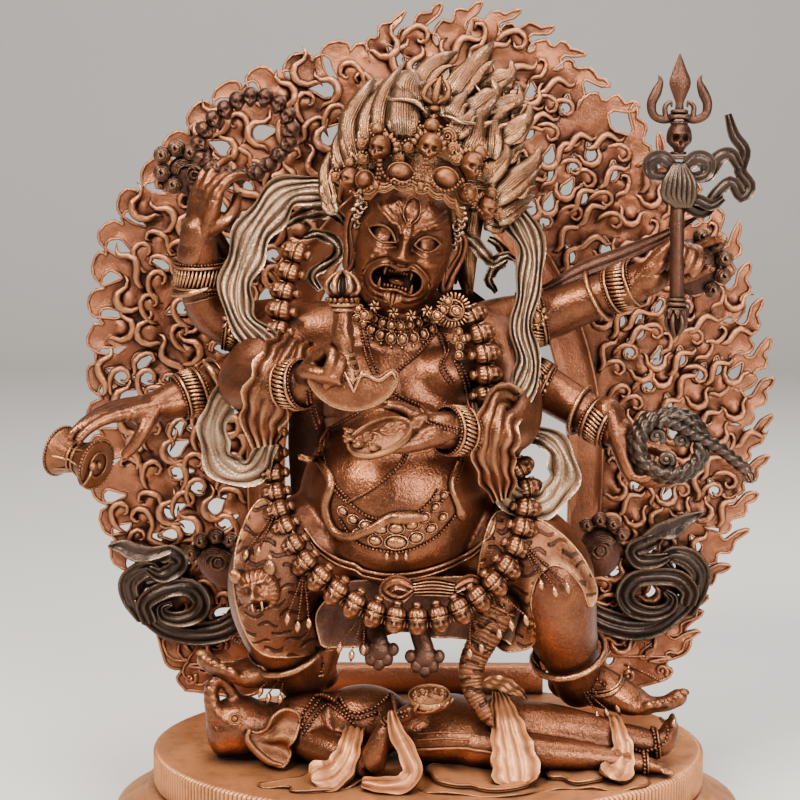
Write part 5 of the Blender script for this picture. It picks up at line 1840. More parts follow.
def makeHide():
    shape, marks = Shape(), Shape()
    for (x, y, z), wide, high, lean, nailsAt, eye in hide["feet"]:
        axes = np.array(Matrix.Rotation(lean, 3, "Y"))
        shape.copies(egg(30, 18), [(x, y, z)], [axes], [(wide, 4.6, high)])
        for a, b, size in nailsAt:
            t = np.linspace(0, 1, 40)
            r = size * (1 - 0.82 * t) + 0.3
            turn = 2 * math.pi * 3.2 * t
            path = np.stack([x + a + r * np.cos(turn), y - 3.0 - 3.4 * t + 0 * r, z + b + r * np.sin(turn)], 1)
            marks.copies(egg(14, 8), [(x + a, y - 2.2, z + b)], sizes=[(size, 3.2, size)])
            marks.tube(path, 0.52, 0.45, 6, hint=(0, 1, 0))
        ex, ez = x + eye[0], z + eye[1]
        for reach, size in ((2.6, 0.5), (1.2, 0.4)):
            marks.tube(limbRing((ex, y - 4.5, ez), (0, 1, 0), reach, 25)[:-1], size, size, 6, closed=True)
        for k in range(5):
            turn = lean + 0.4 * k
            ring = limbRing((x, y - 0.5, z), (0, 1, 0), wide * 0.8 - 0.6 * k, 26, deep=high * 0.75 - 0.5 * k, start=2.6, end=5.0)
            marks.tube(ring + [0, -3.4 - 0.25 * k, 0], 0.3, 0.3, 5)
    # the sheet: from hand to hand behind the shoulders, down to the lower feet, in folds
    across = np.linspace(-1, 1, 90)[None, :]
    down = np.linspace(0, 1, 70)[:, None]
    half = np.interp(down[:, 0], [0, 0.05, 0.15, 0.45, 0.8, 1], [20, 27, 34, 33, 40, 52])[:, None]
    x = -6 - 7.5 * np.exp(-((down - 0.42) / 0.24) ** 2) + half * across
    z = 147 - 99 * down + 2 * np.abs(across) ** 1.6 * (0.5 - down) + 1.6 * np.cos(across * 11) * ease(down, 0.7, 1)
    y = 23.4 - 4.0 * across ** 2 - 5.0 * (1 - ease(down, 0, 0.12)) + 1.3 * np.sin(across * 14 + 2.5 * down) * (0.3 + 0.7 * down) + 1.0 * np.sin(down * 9 + 3 * across)
    g = np.stack([x, y, z], -1)
    front, back = g - [0, 0.7, 0], g + [0, 0.7, 0]
    shape.grid(np.concatenate([front, back[:, ::-1]], 1), ("flat", "flat"))
    for points in ([(37, 13, 148, 1.2), (50, 11, 155, 2.4), (62, 7, 160, 2.4), (74, 2, 166, 1.6), (84, 0, 172, 0.4)],
                   [(-60, 18, 150, 2.0), (-70, 19, 164, 3.0), (-76, 20, 176, 2.6), (-78, 21, 182, 1.4)]):
        ribbon(shape, points, 2, 1.2, 0.5, (0, -1, 0.3))
    return shape, marks


cloth, clothWires, coat, hemAndPaws = makeSkirt()
hideSheet, hideMarks = makeHide()
scarfBands, scarfDrapes = makeScarves()
print("cloth", cloth.triangles() + clothWires.triangles() + coat.triangles(), "scarves", scarfBands.triangles(), "hide",
      hideSheet.triangles() + hideMarks.triangles())
piece("skirt", coat, finishes["tiger"], sharp=60)
piece("hemAndPaws", hemAndPaws, finishes["deep"], sharp=60)
piece("sashAndSnakes", cloth, finishes["warm"], sharp=60)
piece("skirtEdges", clothWires, finishes["warm"], sharp=180)
piece("tigerMask", makeMask(), finishes["warm"], sharp=180)
piece("scarves", scarfBands, finishes["brass"], sharp=60, keep=0.7)
piece("sleeves", scarfDrapes, finishes["warm"], sharp=60)
piece("hide", hideSheet, finishes["deep"], sharp=60, keep=0.7)
piece("hideNails", hideMarks, finishes["deep"], sharp=180, keep=0.35)
print("cloth ready")


skullBead = makeSkull(26, 20)


# A half thunderbolt: prongs swell out from a ball and close on a middle prong
def thunderbolt(shape, foot, way, long, wide, prongs=4, size=0.8):
    way = unit(np.asarray(way, float))
    foot = np.asarray(foot, float)
    first = unit(np.cross(way, (0, 1, 0.01)))
    second = np.cross(way, first)
    for k in range(prongs):
        turn = math.pi * (2 * k / prongs)
        out = math.cos(turn) * first + math.sin(turn) * second
        path = curve([(*(foot + out * wide * a + way * long * b), size * c) for a, b, c in
                      ((0.1, 0.05, 0.8), (0.62, 0.1, 1.0), (1.0, 0.4, 1.1), (0.72, 0.74, 0.9), (0.22, 0.93, 0.7), (0.05, 1.0, 0.3))], 20)
        shape.tube(path, path[:, 3], path[:, 3], 8)
    core = curve([(*foot, size), (*(foot + way * long * 0.5), size * 1.25), (*(foot + way * long * 1.08), size * 0.25)], 10)
    shape.tube(core, core[:, 3], core[:, 3], 9)
    shape.copies(egg(16, 9), [foot - way * size * 0.6], sizes=size * 1.9)


def ringed(shape, middle, heading, reach, size, count=30):
    shape.tube(limbRing(middle, heading, reach, count + 1)[:-1], size, size, 8, closed=True)


# The flaying knife: half thunderbolt, collar of balls, grip, and a crescent blade with a curled wire edge
def makeKnife():
    shape, wires = Shape(), Shape()
    thunderbolt(shape, (-26.5, -41.5, 149.4), (0.02, 0.15, 1), 8.2, 4.6, 6, 0.85)
    for z, reach, size in ((148.0, 3.4, 0.9), (146.4, 2.9, 0.7), (133.0, 3.2, 0.8), (130.8, 3.6, 0.9)):
        ringed(shape, (-26.4, -42.5, z), (0, 0, 1), reach, size)
    beadsAlong(shape, limbRing((-26.4, -42.5, 149.2), (0, 0, 1), 4.4, 40), 0.8)
    grip = curve([(-26.4, -42.5, 148, 2.2), (-26.4, -42.8, 143, 2.9), (-26.3, -43, 138, 3.4), (-26.2, -43.4, 133, 2.9),
                  (-25.6, -44, 129, 2.9)], 24)
    shape.tube(grip, grip[:, 3], grip[:, 3], 24, form=lambda along, turn: 1 + 0.05 * np.cos(8 * turn))
    blade = [(-36.0, 127.4), (-34.0, 128.4), (-31.8, 127.0), (-29.4, 127.6), (-26.0, 128.6), (-22.0, 128.6), (-18.6, 127.4),
             (-15.6, 127.0), (-12.8, 128.8), (-10.4, 128.0), (-10.6, 124.6), (-13.6, 120.6), (-18.0, 118.0), (-23.6, 117.0),
             (-29.4, 118.4), (-33.6, 121.6), (-36.0, 125.0)]
    patch(shape, wires, blade, 0.8, lambda p: 0.9 * hill(p, (-23.5, 123), (9, 4)), depth=-45.6, thick=1.8, rim=0.4, net=1.0)
    for side in (-1, 1):
        edge = curve([(-23.2, -46.9, 125.6, 0.5), (-23.2 + side * 3.4, -47, 127.6, 0.65), (-23.2 + side * 7.6, -46.9, 125.9, 0.65),
                      (-23.2 + side * 11.2, -46.9, 128.2, 0.6), (-23.2 + side * 12.6, -46.9, 126.4, 0.35)], 26)
        shape.tube(edge, edge[:, 3], edge[:, 3], 8)
        shape.tube([(-23.2 + side * 2.6, -47.2, 128.4), (-23.0, -47.6, 122.8)], 0.5, 0.5, 6)
    tang = curve([(-25.4, -45.2, 129.4, 2.6), (-24.2, -46.4, 126.6, 2.0), (-23.0, -47.0, 122.6, 0.3)], 10)
    shape.tube(tang, tang[:, 3], tang[:, 3] * 0.5, 12, hint=(0, 1, 0))
    return shape, wires


# A skull cup: an oval bowl heaped with swirls, from its middle over the rim to the underside
def makeCup(middle, along, upward, half, deep, detail=1.0):
    along = unit(np.asarray(along, float))
    upward = unit(np.asarray(upward, float) - along * (np.asarray(upward, float) @ along))
    aside = np.cross(upward, along)
    r = np.concatenate([np.linspace(0.03, 0.94, 26), [0.97, 1.0, 1.03, 1.03, 0.99], 0.97 * np.cos(np.linspace(0.1, 1.5, 12))])[:, None]
    turn = np.arange(88)[None, :] * 2 * math.pi / 88
    under = np.arange(len(r))[:, None] > 29
    x, y = r * np.cos(turn), r * np.sin(turn)
    swirl = 0 * x
    for side in (-1, 1):
        dx, dy = x - side * 0.45, y
        near = np.exp(-(dx ** 2 + dy ** 2) / 0.30)
        swirl += near * np.abs(np.sin(3.5 * np.arctan2(dy, dx * side) + side * 5.0 * np.hypot(dx, dy))) * 0.9
        swirl += 0.7 * np.exp(-((np.hypot(dx, dy) - 0.36) / 0.07) ** 2)
    heap = deep * 0.28 * (1 - r ** 2) + swirl * 0.75 * detail * (r < 0.9)
    lip = np.where((r > 0.95) & ~under, 0.9, 0)
    fall = np.where(under, -deep * np.sqrt(np.clip(1 - (r / 1.03) ** 2, 0, 1)) - 0.3, heap + lip)
    g = (np.asarray(middle, float) + (half[0] * x)[..., None] * along + (half[1] * y)[..., None] * aside + fall[..., None] * upward)
    return Shape().grid(g, ("flat", "flat"))


# The hourglass drum, its straps and its knobbed striker
def makeDrum():
    shape = Shape()
    a, b = np.array([-116.8, -9.6, 98.6]), np.array([-103.6, -17.2, 95.4])
    way = unit(b - a)
    at = np.array([0, 0, 0.02, 0.06, 0.10, 0.14, 0.3, 0.44, 0.5, 0.56, 0.7, 0.86, 0.90, 0.94, 0.98, 1, 1])
    reach = np.array([0.2, 6.9, 7.5, 7.7, 7.5, 7.0, 5.6, 4.4, 4.2, 4.4, 5.6, 7.0, 7.5, 7.7, 7.5, 6.9, 0.2])
    path = a + (b - a) * at[:, None] + way * np.linspace(-0.01, 0.01, 17)[:, None]
    first = unit(np.cross(way, (0, 0, 1)))
    second = np.cross(way, first)
    turn = np.arange(48)[None, :] * 2 * math.pi / 48
    ripple = 1 + 0.03 * np.cos(12 * turn) * np.sin(np.clip(at, 0, 1) * math.pi)[:, None] ** 2
    g = (path[:, None] + (reach[:, None] * ripple * np.cos(turn))[..., None] * first
         + (reach[:, None] * ripple * np.sin(turn))[..., None] * second)
    shape.grid(g, ("flat", "flat"))
    for share in (0.03, 0.97):
        beadsAlong(shape, limbRing(a + (b - a) * share, way, 7.9, 60), 0.55, template=tinyBead)
    for share in (0.44, 0.56):
        ringed(shape, a + (b - a) * share, way, 4.7, 0.6)
    for k in range(8):
        t = 2 * math.pi * k / 8
        out = math.cos(t) * first + math.sin(t) * second
        shape.tube([a + out * 7.4, (a + b) / 2 + out * 4.6, b + out * 7.4], 0.35, 0.35, 5, ("flat", "flat"))
    face = b + way * 0.4
    shape.copies(egg(14, 8), [face], sizes=1.3)
    ringed(shape, face - way * 0.1, way, 4.0, 0.4)
    cord = curve([(-110, -16, 91.4), (-108, -20.5, 89.6), (-105.5, -22.0, 92.2), (-104.8, -20.6, 94.6)], 24)
    shape.tube(cord, 0.5, 0.5, 6)
    shape.copies(egg(12, 7), [(-104.6, -20.4, 95.4)], sizes=1.5)
    return shape


rosaryPlaces = [(-74.0, 194.4), (-71.7, 199.5), (-66.7, 204.3), (-61.0, 208.5), (-54.3, 209.8), (-48.0, 207.3), (-44.4, 201.8),
                (-44.4, 195.6), (-49.0, 190.2), (-55.0, 185.5), (-61.7, 184.2), (-68.6, 186.1), (-73.0, 189.6)]


def makeRosary():
    shape = Shape()
    outline = [(x * 0.965 - 2.1, 8.8, z * 0.965 + 6.9) for x, z in rosaryPlaces]
    places = curve(outline, 18, True)
    centre = places.mean(0)
    for k, spot in enumerate(places):
        ahead = unit(places[(k + 1) % 18] - spot)
        out = unit(spot - centre)
        lean = math.atan2(out[0], out[2]) * 0.55
        axes = np.array(Matrix.Rotation(0.35 * math.sin(k * 1.9), 3, "Z") @ Matrix.Rotation(lean, 3, "Y"))
        shape.copies(skullBead, [spot], [axes], 3.25)
        gap = (spot + places[(k + 1) % 18]) / 2
        shape.copies(egg(8, 5), [gap], sizes=1.15)
        shape.copies(egg(8, 4), [gap + ahead * 1.0, gap - ahead * 1.0], sizes=0.8)
    return shape


# The staff: three blades, a skull, a knotted scarf whose ends fly to the right, a thunderbolt foot
def makeStaff():
    shape, scarf = Shape(), Shape()
    x, y = 76.2, -8.4
    shape.tube([(x + 0.6, y, 147), (x + 0.3, y, 165), (x, y, 182)], 2.25, 2.25, 22)
    for z, reach, size in ((146.8, 2.6, 0.6), (145.4, 2.9, 0.7), (143.9, 2.5, 0.5), (190.6, 2.5, 0.6), (192, 2.1, 0.5), (201.2, 2.3, 0.6),
                           (203.0, 3.0, 0.7), (204.6, 2.2, 0.6)):
        ringed(shape, (x + (0.6 if z < 150 else 0), y, z), (0, 0, 1), reach, size, 24)
    thunderbolt(shape, (x + 0.6, y, 143.2), (0, 0, -1), 8.0, 3.0, 6, 0.7)
    for k in range(8):
        turn = k * math.pi / 4
        lock(shape, [(x + 0.6 + 1.4 * math.cos(turn), y + 1.4 * math.sin(turn), 144.4, 0.7),
                     (x + 0.6 + 3.0 * math.cos(turn), y + 2.8 * math.sin(turn), 143.2, 0.95),
                     (x + 0.6 + 3.6 * math.cos(turn), y + 3.4 * math.sin(turn), 141.0, 0.15)], 8, 0.9, 0.6)
    shape.copies(makeSkull(40, 30), [(x, y - 0.8, 196.6)], sizes=4.9)
    middle = curve([(x, y, 203.5, 1.5), (x, y, 207, 1.1), (x, y, 209.6, 1.9), (x, y, 213.4, 2.9), (x - 0.2, y, 217.6, 1.7),
                    (x - 0.2, y, 222.0, 0.2)], 30)
    shape.tube(middle, middle[:, 3], middle[:, 3] * 0.55, 12, hint=(0, 1, 0),
               form=lambda along, turn: 1 + 0.25 * np.abs(np.cos(turn)) ** 6 - 0.1)
    for side in (-1, 1):
        prong = curve([(x, y, 204.4, 1.2), (x + side * 4.0, y, 202.2, 1.3), (x + side * 7.8, y, 203.4, 1.3),
                       (x + side * 8.6, y, 207.0, 1.5), (x + side * 7.2, y, 210.4, 1.6), (x + side * 6.0, y, 213.6, 0.9),
                       (x + side * 6.6, y, 215.6, 0.2)], 34)
        shape.tube(prong, prong[:, 3], prong[:, 3] * 0.7, 12, hint=(0, 1, 0))
        hook = curve([(x + side * 4.2, y, 203.0, 0.9), (x + side * 4.4, y, 206.0, 0.8), (x + side * 2.8, y, 207.6, 0.6),
                      (x + side * 2.4, y, 206.2, 0.3)], 16)
        shape.tube(hook, hook[:, 3], hook[:, 3], 8)
        ribbon(scarf, [(x + side * 1.5, y - 1.5, 187.2, 1.6), (x + side * 5.0, y - 2.2, 190.2, 2.6), (x + side * 8.6, y - 1.8, 189.2, 2.6),
                       (x + side * 8.2, y - 1.6, 185.6, 2.0), (x + side * 4.4, y - 2.4, 184.8, 1.4), (x + side * 1.2, y - 2.6, 186.4, 1.0)],
               2, 0.9, 0.55, rows=26)
    for k in range(7):
        a = (k - 3) / 3.0
        fold = curve([(x + 1.6 * a, y - 2.6, 188.2, 0.8), (x + 4.2 * a, y - 3.4, 183.4, 1.05), (x + 4.6 * a, y - 3.2, 178.8, 1.0),
                      (x + 1.4 + 2.2 * a, y - 2.4, 175.8, 0.8)], 18)
        scarf.tube(fold, fold[:, 3], fold[:, 3] * 0.9, 9)
    scarf.copies(egg(20, 12), [(x, y, 183.0)], sizes=[(4.4, 3.2, 6.4)])
    for points in ([(78.2, -9.5, 176.5, 1.9), (84.4, -8.5, 174.2, 2.2), (88.7, -8.8, 180.0, 2.0), (92.8, -9.2, 183.2, 1.9),
                    (96.2, -8.6, 178.6, 1.9), (98.6, -8.2, 182.0, 1.8), (95.4, -8.6, 186.6, 1.9), (96.5, -9, 192.6, 1.8),
                    (93.2, -8.8, 197.4, 1.7), (91.0, -9, 203.8, 1.0)],
                   [(80.6, -9.5, 184.5, 1.5), (85.2, -9.5, 185.6, 2.2), (88.2, -10.0, 190.4, 2.3), (92.0, -10.4, 191.6, 2.0),
                    (94.8, -10, 187.6, 1.4)],
                   [(78.0, -10, 178.4, 1.4), (82.4, -10.8, 177.6, 1.8), (86.6, -10.6, 176.0, 1.6), (90.2, -10, 178.2, 0.9)]):
        ribbon(scarf, points, 2, 0.9, 0.6, (0, -1, 0.05), rows=44)
    return shape, scarf


# The noose: a twisted rope coiled three times round, its tail across the coil to a weighted end
def makeNoose():
    shape = Shape()
    turn = np.linspace(0, 6 * math.pi, 250)
    share = turn / turn[-1]
    reach = 11.2 - 2.8 * share
    coil = np.stack([75.4 + reach * np.cos(turn + 2.2) * 1.02, -11.6 - 3.2 * share + 0.9 * np.sin(turn * 1.5),
                     101.4 + reach * np.sin(turn + 2.2) * 0.98], 1)
    tail = curve([coil[-1], coil[-1] + [4, -0.6, 1.0], (84.6, -14.8, 103.8), (90.5, -13.2, 100.6), (95.4, -12.2, 96.8), (98.4, -11.8, 94.4)], 60)
    path = curve(np.vstack([coil[:-2], tail[2:]]), 460)
    shape.tube(path, 1.85, 1.85, 15, hint=(0, 1, 0),
               form=lambda along, turn: 0.78 + 0.42 * np.abs(np.cos(1.5 * turn - 210 * along)))
    shape.copies(egg(14, 8), [(99.4, -11.6, 93.4)], sizes=1.9)
    thunderbolt(shape, (99.8, -11.6, 92.8), (0.45, 0, -0.9), 4.0, 1.7, 4, 0.5)
    for k, (dx, dz) in enumerate(((-4.2, 3.0), (-1.0, -4.6), (3.6, 1.6))):
        scroll(shape, np.array([75.0 + dx, -13.2, 101.2 + dz]), np.array([1.0, 0, 0]), np.array([0, 0, 1.0]), 2.4, 1.2, 1.3, 1)
    return shape


knife, knifeWires = makeKnife()
cup = makeCup((-15.4, -45.6, 109.0), (0.93, 0.1, 0.36), (-0.25, -0.62, 0.74), (9.8, 6.2), 4.6)
staff, staffScarf = makeStaff()
noose, rosary, drum = makeNoose(), makeRosary(), makeDrum()
print("attributes", [shape.triangles() for shape in (knife, cup, staff, staffScarf, noose, rosary, drum)])
piece("knife", knife.join(knifeWires), finishes["warm"], sharp=60)
piece("skullCup", cup, finishes["gold"], sharp=180, keep=0.7)
piece("drum", drum, finishes["gold"], ["hand_drum"], sharp=50)
piece("staff", staff, finishes["deep"], ["trident_staff"], sharp=60)
piece("staffScarf", staffScarf, finishes["dark"], ["trident_staff"], sharp=60)
piece("rosary", rosary, finishes["deep"], ["skull_rosary"], sharp=180, keep=0.7)
piece("noose", noose, finishes["dark"], ["rope_noose"], sharp=180, keep=0.7)
print("attributes ready")


# The elephant-headed figure on its back: middles and reaches of swellings, then limbs as paths with radii
trampled = {
    "blobs": [((-60.5, -14.0, 10.2), (11.0, 9.4, 9.8)), ((-65.0, -15.0, 8.0), (6.0, 7.2, 7.6)), ((-52.5, -13.0, 9.0), (9.0, 9.5, 8.6)),
              ((-66.2, -17.0, 14.6), (3.6, 4.2, 3.4)), ((-39.0, -12.5, 10.0), (12.0, 11.5, 11.0)), ((-21.0, -12.5, 11.0), (16.0, 12.0, 12.0)),
              ((5.0, -15.0, 9.4), (19.0, 16.0, 11.0)), ((25.0, -14.5, 9.8), (13.0, 13.5, 10.6)), ((-33.0, -21.0, 6.4), (9.0, 6.0, 5.6))],
    "limbs": [
        [(-39, -20, 7, 5.6), (-31, -26, 6.4, 5.8), (-23, -31.5, 5.4, 5.3), (-18.4, -34.5, 4.6, 4.7), (-16.6, -35.6, 9.4, 3.9),
         (-14.2, -35.6, 15, 3.2), (-10.2, -35.2, 19.4, 2.4), (-6, -34.8, 21.9, 2.5), (-1.5, -34.6, 23.2, 2.2)],
        [(-66.8, -17, 12.6, 4.2), (-68.4, -17.6, 17, 3.0), (-69.2, -17.4, 22, 2.5), (-68.3, -17, 25.6, 2.2), (-65.8, -16, 26.0, 2.0),
         (-63.6, -15, 22.6, 2.0), (-61.4, -14, 18.6, 2.2)],
        [(20, -16, 10.2, 9), (35, -18, 11.2, 8.2), (49, -19.5, 10.2, 6.6), (58.5, -20.5, 8.6, 5.6)],
        [(56, -20.5, 8.6, 5.6), (65, -21.2, 8.0, 4.9), (72.0, -22, 7.0, 4.3), (75.0, -22, 9.4, 3.6), (76.0, -22, 12.8, 2.8)],
        [(14, -24, 7, 7.4), (34, -28.5, 6.6, 5.6), (54, -29.5, 5.0, 4.2), (66, -30, 3.6, 3.0), (72, -30.6, 2.4, 2.0)]],
    "toes": [[(76.4, -25.0 + k * 1.55, 14.6 + 0.5 * math.sin(k), 1.25 - 0.1 * abs(k - 1)), (77.0, -25.0 + k * 1.55, 16.2 + 0.4 * math.sin(k), 0.8)]
             for k in range(5)] + [[(72.4, -33.0 + k * 1.25, 2.0, 1.0), (75.4 - 0.35 * k, -33.4 + k * 1.4, 1.8, 0.7)] for k in range(5)],
    "fingers": [[(-3.4, -37.0, 22.4, 0.95), (0.6, -38.9, 23.6, 0.9), (3.0, -39.4, 25.6, 0.7)], [(-1.4, -36.6, 22.2, 0.95), (3.0, -37.6, 23.6, 0.9), (5.6, -37.2, 25.8, 0.7)],
                [(0, -35, 22.2, 0.95), (4.6, -35.4, 23.6, 0.9), (7.0, -34.8, 26.0, 0.7)], [(-4.6, -36.8, 22.0, 1.0), (-4.8, -39.2, 24.0, 0.9), (-3.6, -40.0, 26.0, 0.7)]],
    "ear": [(-51, 12.9), (-49, 16.8), (-45.3, 18.8), (-41.5, 17.5), (-40.8, 14.6), (-42.1, 10.3), (-44.2, 7.4), (-43.6, 4.9), (-45.6, 1.8),
            (-50, 3.0), (-53.8, 6.2), (-56.4, 9.4), (-56.9, 12.2), (-54, 11.4)],
    "strings": [[(-40.8, 14.6), (-39, 18.0), (-34.1, 21.8), (-29.1, 21.2), (-24.7, 17.6), (-19, 18.2), (-12.7, 21.0), (-7.6, 22.8)],
                [(-40.4, 12.8), (-38.2, 16.2), (-33.8, 20.2), (-29.1, 19.4), (-24.2, 16.0), (-18.5, 16.8), (-12.2, 19.8), (-7.2, 21.4)],
                [(-39.8, 11.2), (-37.2, 14.4), (-33.2, 18.2), (-29.0, 17.6), (-23.8, 14.4)]],
    "cloths": [  # outlines on the ground (x, y), height of their top
        ([(-20.4, -34), (-22.6, -40), (-27.0, -43.2), (-32.0, -45.4), (-37.5, -46.4), (-42, -45.8), (-42.4, -43.0), (-46, -42.4), (-50.8, -42.2),
          (-52.4, -39.6), (-50.0, -37.4), (-45.7, -37.6), (-40.3, -34), (-36, -29), (-26, -27)], 1.7),
        ([(-5.5, -34), (-4.4, -41), (-1.2, -45.6), (5, -47.2), (10.6, -47.6), (16.4, -49.0), (23.2, -49.2), (28.6, -47.4), (32.9, -44.6), (38, -43.0),
          (43.2, -42.4), (48.9, -42.6), (54, -43.4), (60.4, -42.8), (65.6, -40.4), (67.4, -35), (62, -27), (40, -22), (16, -22), (0, -26)], 1.4),
        ([(0.6, -35), (1.8, -41), (5, -43.6), (9.2, -43.4), (12.4, -43.6), (15.4, -45.6), (20.4, -47.2), (25.6, -46.6), (29.4, -43.8), (30.6, -38),
          (30, -30), (14, -26), (0, -28)], 2.9),
        ([(36.4, -33), (37.6, -36.6), (41.2, -37.2), (43.0, -39.6), (47.2, -41.2), (51.4, -39.6), (53.2, -35), (49, -28), (40, -27)], 2.9)],
    "ribbons": [  # x, y, z, half width; pleats; the way their face looks
        ([(-11.6, -37.6, 22.0, 1.3), (-10.4, -39.6, 17, 2.4), (-7.0, -41.6, 11.2, 2.9), (-5.4, -43.8, 5.8, 3.0), (-8.0, -45.4, 2.6, 2.9),
          (-13.6, -45.2, 1.9, 2.6), (-19.6, -43.4, 1.9, 1.8)], 2, (-0.1, -0.8, 0.6)),
        ([(22.2, -15, 20.6, 2.0), (23.0, -24, 18.6, 3.8), (24.2, -30.6, 14.4, 5.4), (25.6, -35.6, 8.6, 6.8), (26.4, -40.4, 3.6, 7.6)], 4, (0, -0.7, 0.7)),
        ([(58.6, -19, 14.4, 1.8), (59.2, -25.4, 12.2, 2.4), (60.2, -29.6, 8.0, 3.2), (58.6, -33.6, 4.0, 4.6), (57.0, -37.0, 2.6, 5.0)], 2, (0, -0.7, 0.7)),
        ([(-23.4, -24, 12.4, 3.0), (-24.0, -30.4, 12.2, 3.2), (-25.4, -35.4, 8.0, 3.8), (-28.6, -39.0, 3.8, 5.0), (-33.0, -41.4, 2.6, 6.0)], 3, (0, -0.65, 0.76)),
        ([(19.0, -8, 22.0, 3.0), (23.6, -9.5, 21.8, 3.4), (28.2, -11, 19.6, 2.6), (30.4, -12, 18.4, 1.0)], 3, (0, -0.4, 0.9))],
}


# Points (x, z) laid on a skin as seen from the front, or from above where the way is down
def laidOn(tree, points, lift, count, down=False):
    line = curve(np.column_stack([points, np.zeros(len(points))])[:, [0, 2, 1]], count)
    for row in line:
        hit = tree.ray_cast(Vector((row[0], -90, row[2])), Vector((0, 1, 0)))[0]
        row[1] = (hit.y if hit else line[max(0, int(np.argmin(abs(line[:, 0] - row[0]))) - 1), 1]) - lift
    line[1:-1, 1] = (line[:-2, 1] + line[1:-1, 1] + line[2:, 1]) / 3
    return line


def earPleats(p):
    away = p - (-55.8, 9.6)
    turn = np.arctan2(away[:, 1], away[:, 0])
    return (1.25 * np.cos(turn * 8.0 + 0.7 * np.sin(away[:, 0] * 0.5)) * ease(np.hypot(*away.T), 2, 8)
            - 1.0 * hill(p, (-51.5, 9.0), (3.6, 3.2)))


def makeTrampled():
    clay = Shape()
    for middle, reach in trampled["blobs"]:
        clay.copies(egg(24, 12), [middle], sizes=[reach])
    for limb in trampled["limbs"] + trampled["toes"] + trampled["fingers"]:
        path = curve(limb, max(6, int(runLength(limb) / 1.4)))
        clay.tube(path, path[:, 3], path[:, 3], 16)
    clay.moved(lambda p: np.column_stack([p[:, 0], p[:, 1], np.maximum(p[:, 2], 0.35)]))
    skin = fused(clay, 0.72, 5)
    low = np.vstack(skin.points)[:, 2].min()
    skin = carved(skin, lambda p: -0.9 * hill(p, (-67.2, -22, 12.4), (2.4, 9, 0.9)) - 0.7 * hill(p, (-60.5, -23.4, 16.0), (2.6, 4, 0.7))
                  + 0.35 * np.cos(p[:, 2] * 2.6 + p[:, 0] * 0.8) * hill(p, (-69, -17, 22), (2.4, 4, 4.4))
                  - 0.8 * hill(p, (-7.0, -28, 11.0), (1.2, 9, 1.2)) - 0.6 * np.exp(-((p[:, 0] + 27.5 + 0.3 * p[:, 2]) / 1.1) ** 2) * hill(p[:, 1:2], (-24,), (4,)))
    return skin.moved(lambda p: np.column_stack([p[:, 0], p[:, 1], np.maximum(p[:, 2], min(low, 0.35))]))


def makeTrampledCloths():
    shape, wires = Shape(), Shape()
    for outline, top in trampled["cloths"]:
        flat_, edge = Shape(), Shape()
        middle = np.mean(outline, 0)
        patch(flat_, edge, outline, 0.0, lambda p: 0.45 * np.sin(p[:, 0] / 1.9 + p[:, 1] / 6 + np.sin(p[:, 1] / 4)) * ease(p[:, 1], -49, -40),
              depth=0.0, thick=1.1, rim=0.45, net=1.2)
        for part in (flat_, edge):
            part.moved(lambda p: np.column_stack([p[:, 0], p[:, 2], top - p[:, 1] - 0.9 + 0.35 * np.sin(p[:, 0] / 3.3)]))
            (shape if part is flat_ else wires).join(part)
    for points, pleats, way in trampled["ribbons"]:
        ribbon(shape, points, pleats, 1.5, 0.85, way, rows=46, wave=0.25, ends=("round", "round"))
    return shape, wires


trampledSkin = makeTrampled()
trampledTree = BVHTree.FromPolygons([tuple(p) for p in np.vstack(trampledSkin.points)],
                                    [tuple(int(i) for i in f) for faces in trampledSkin.faces for f in faces])


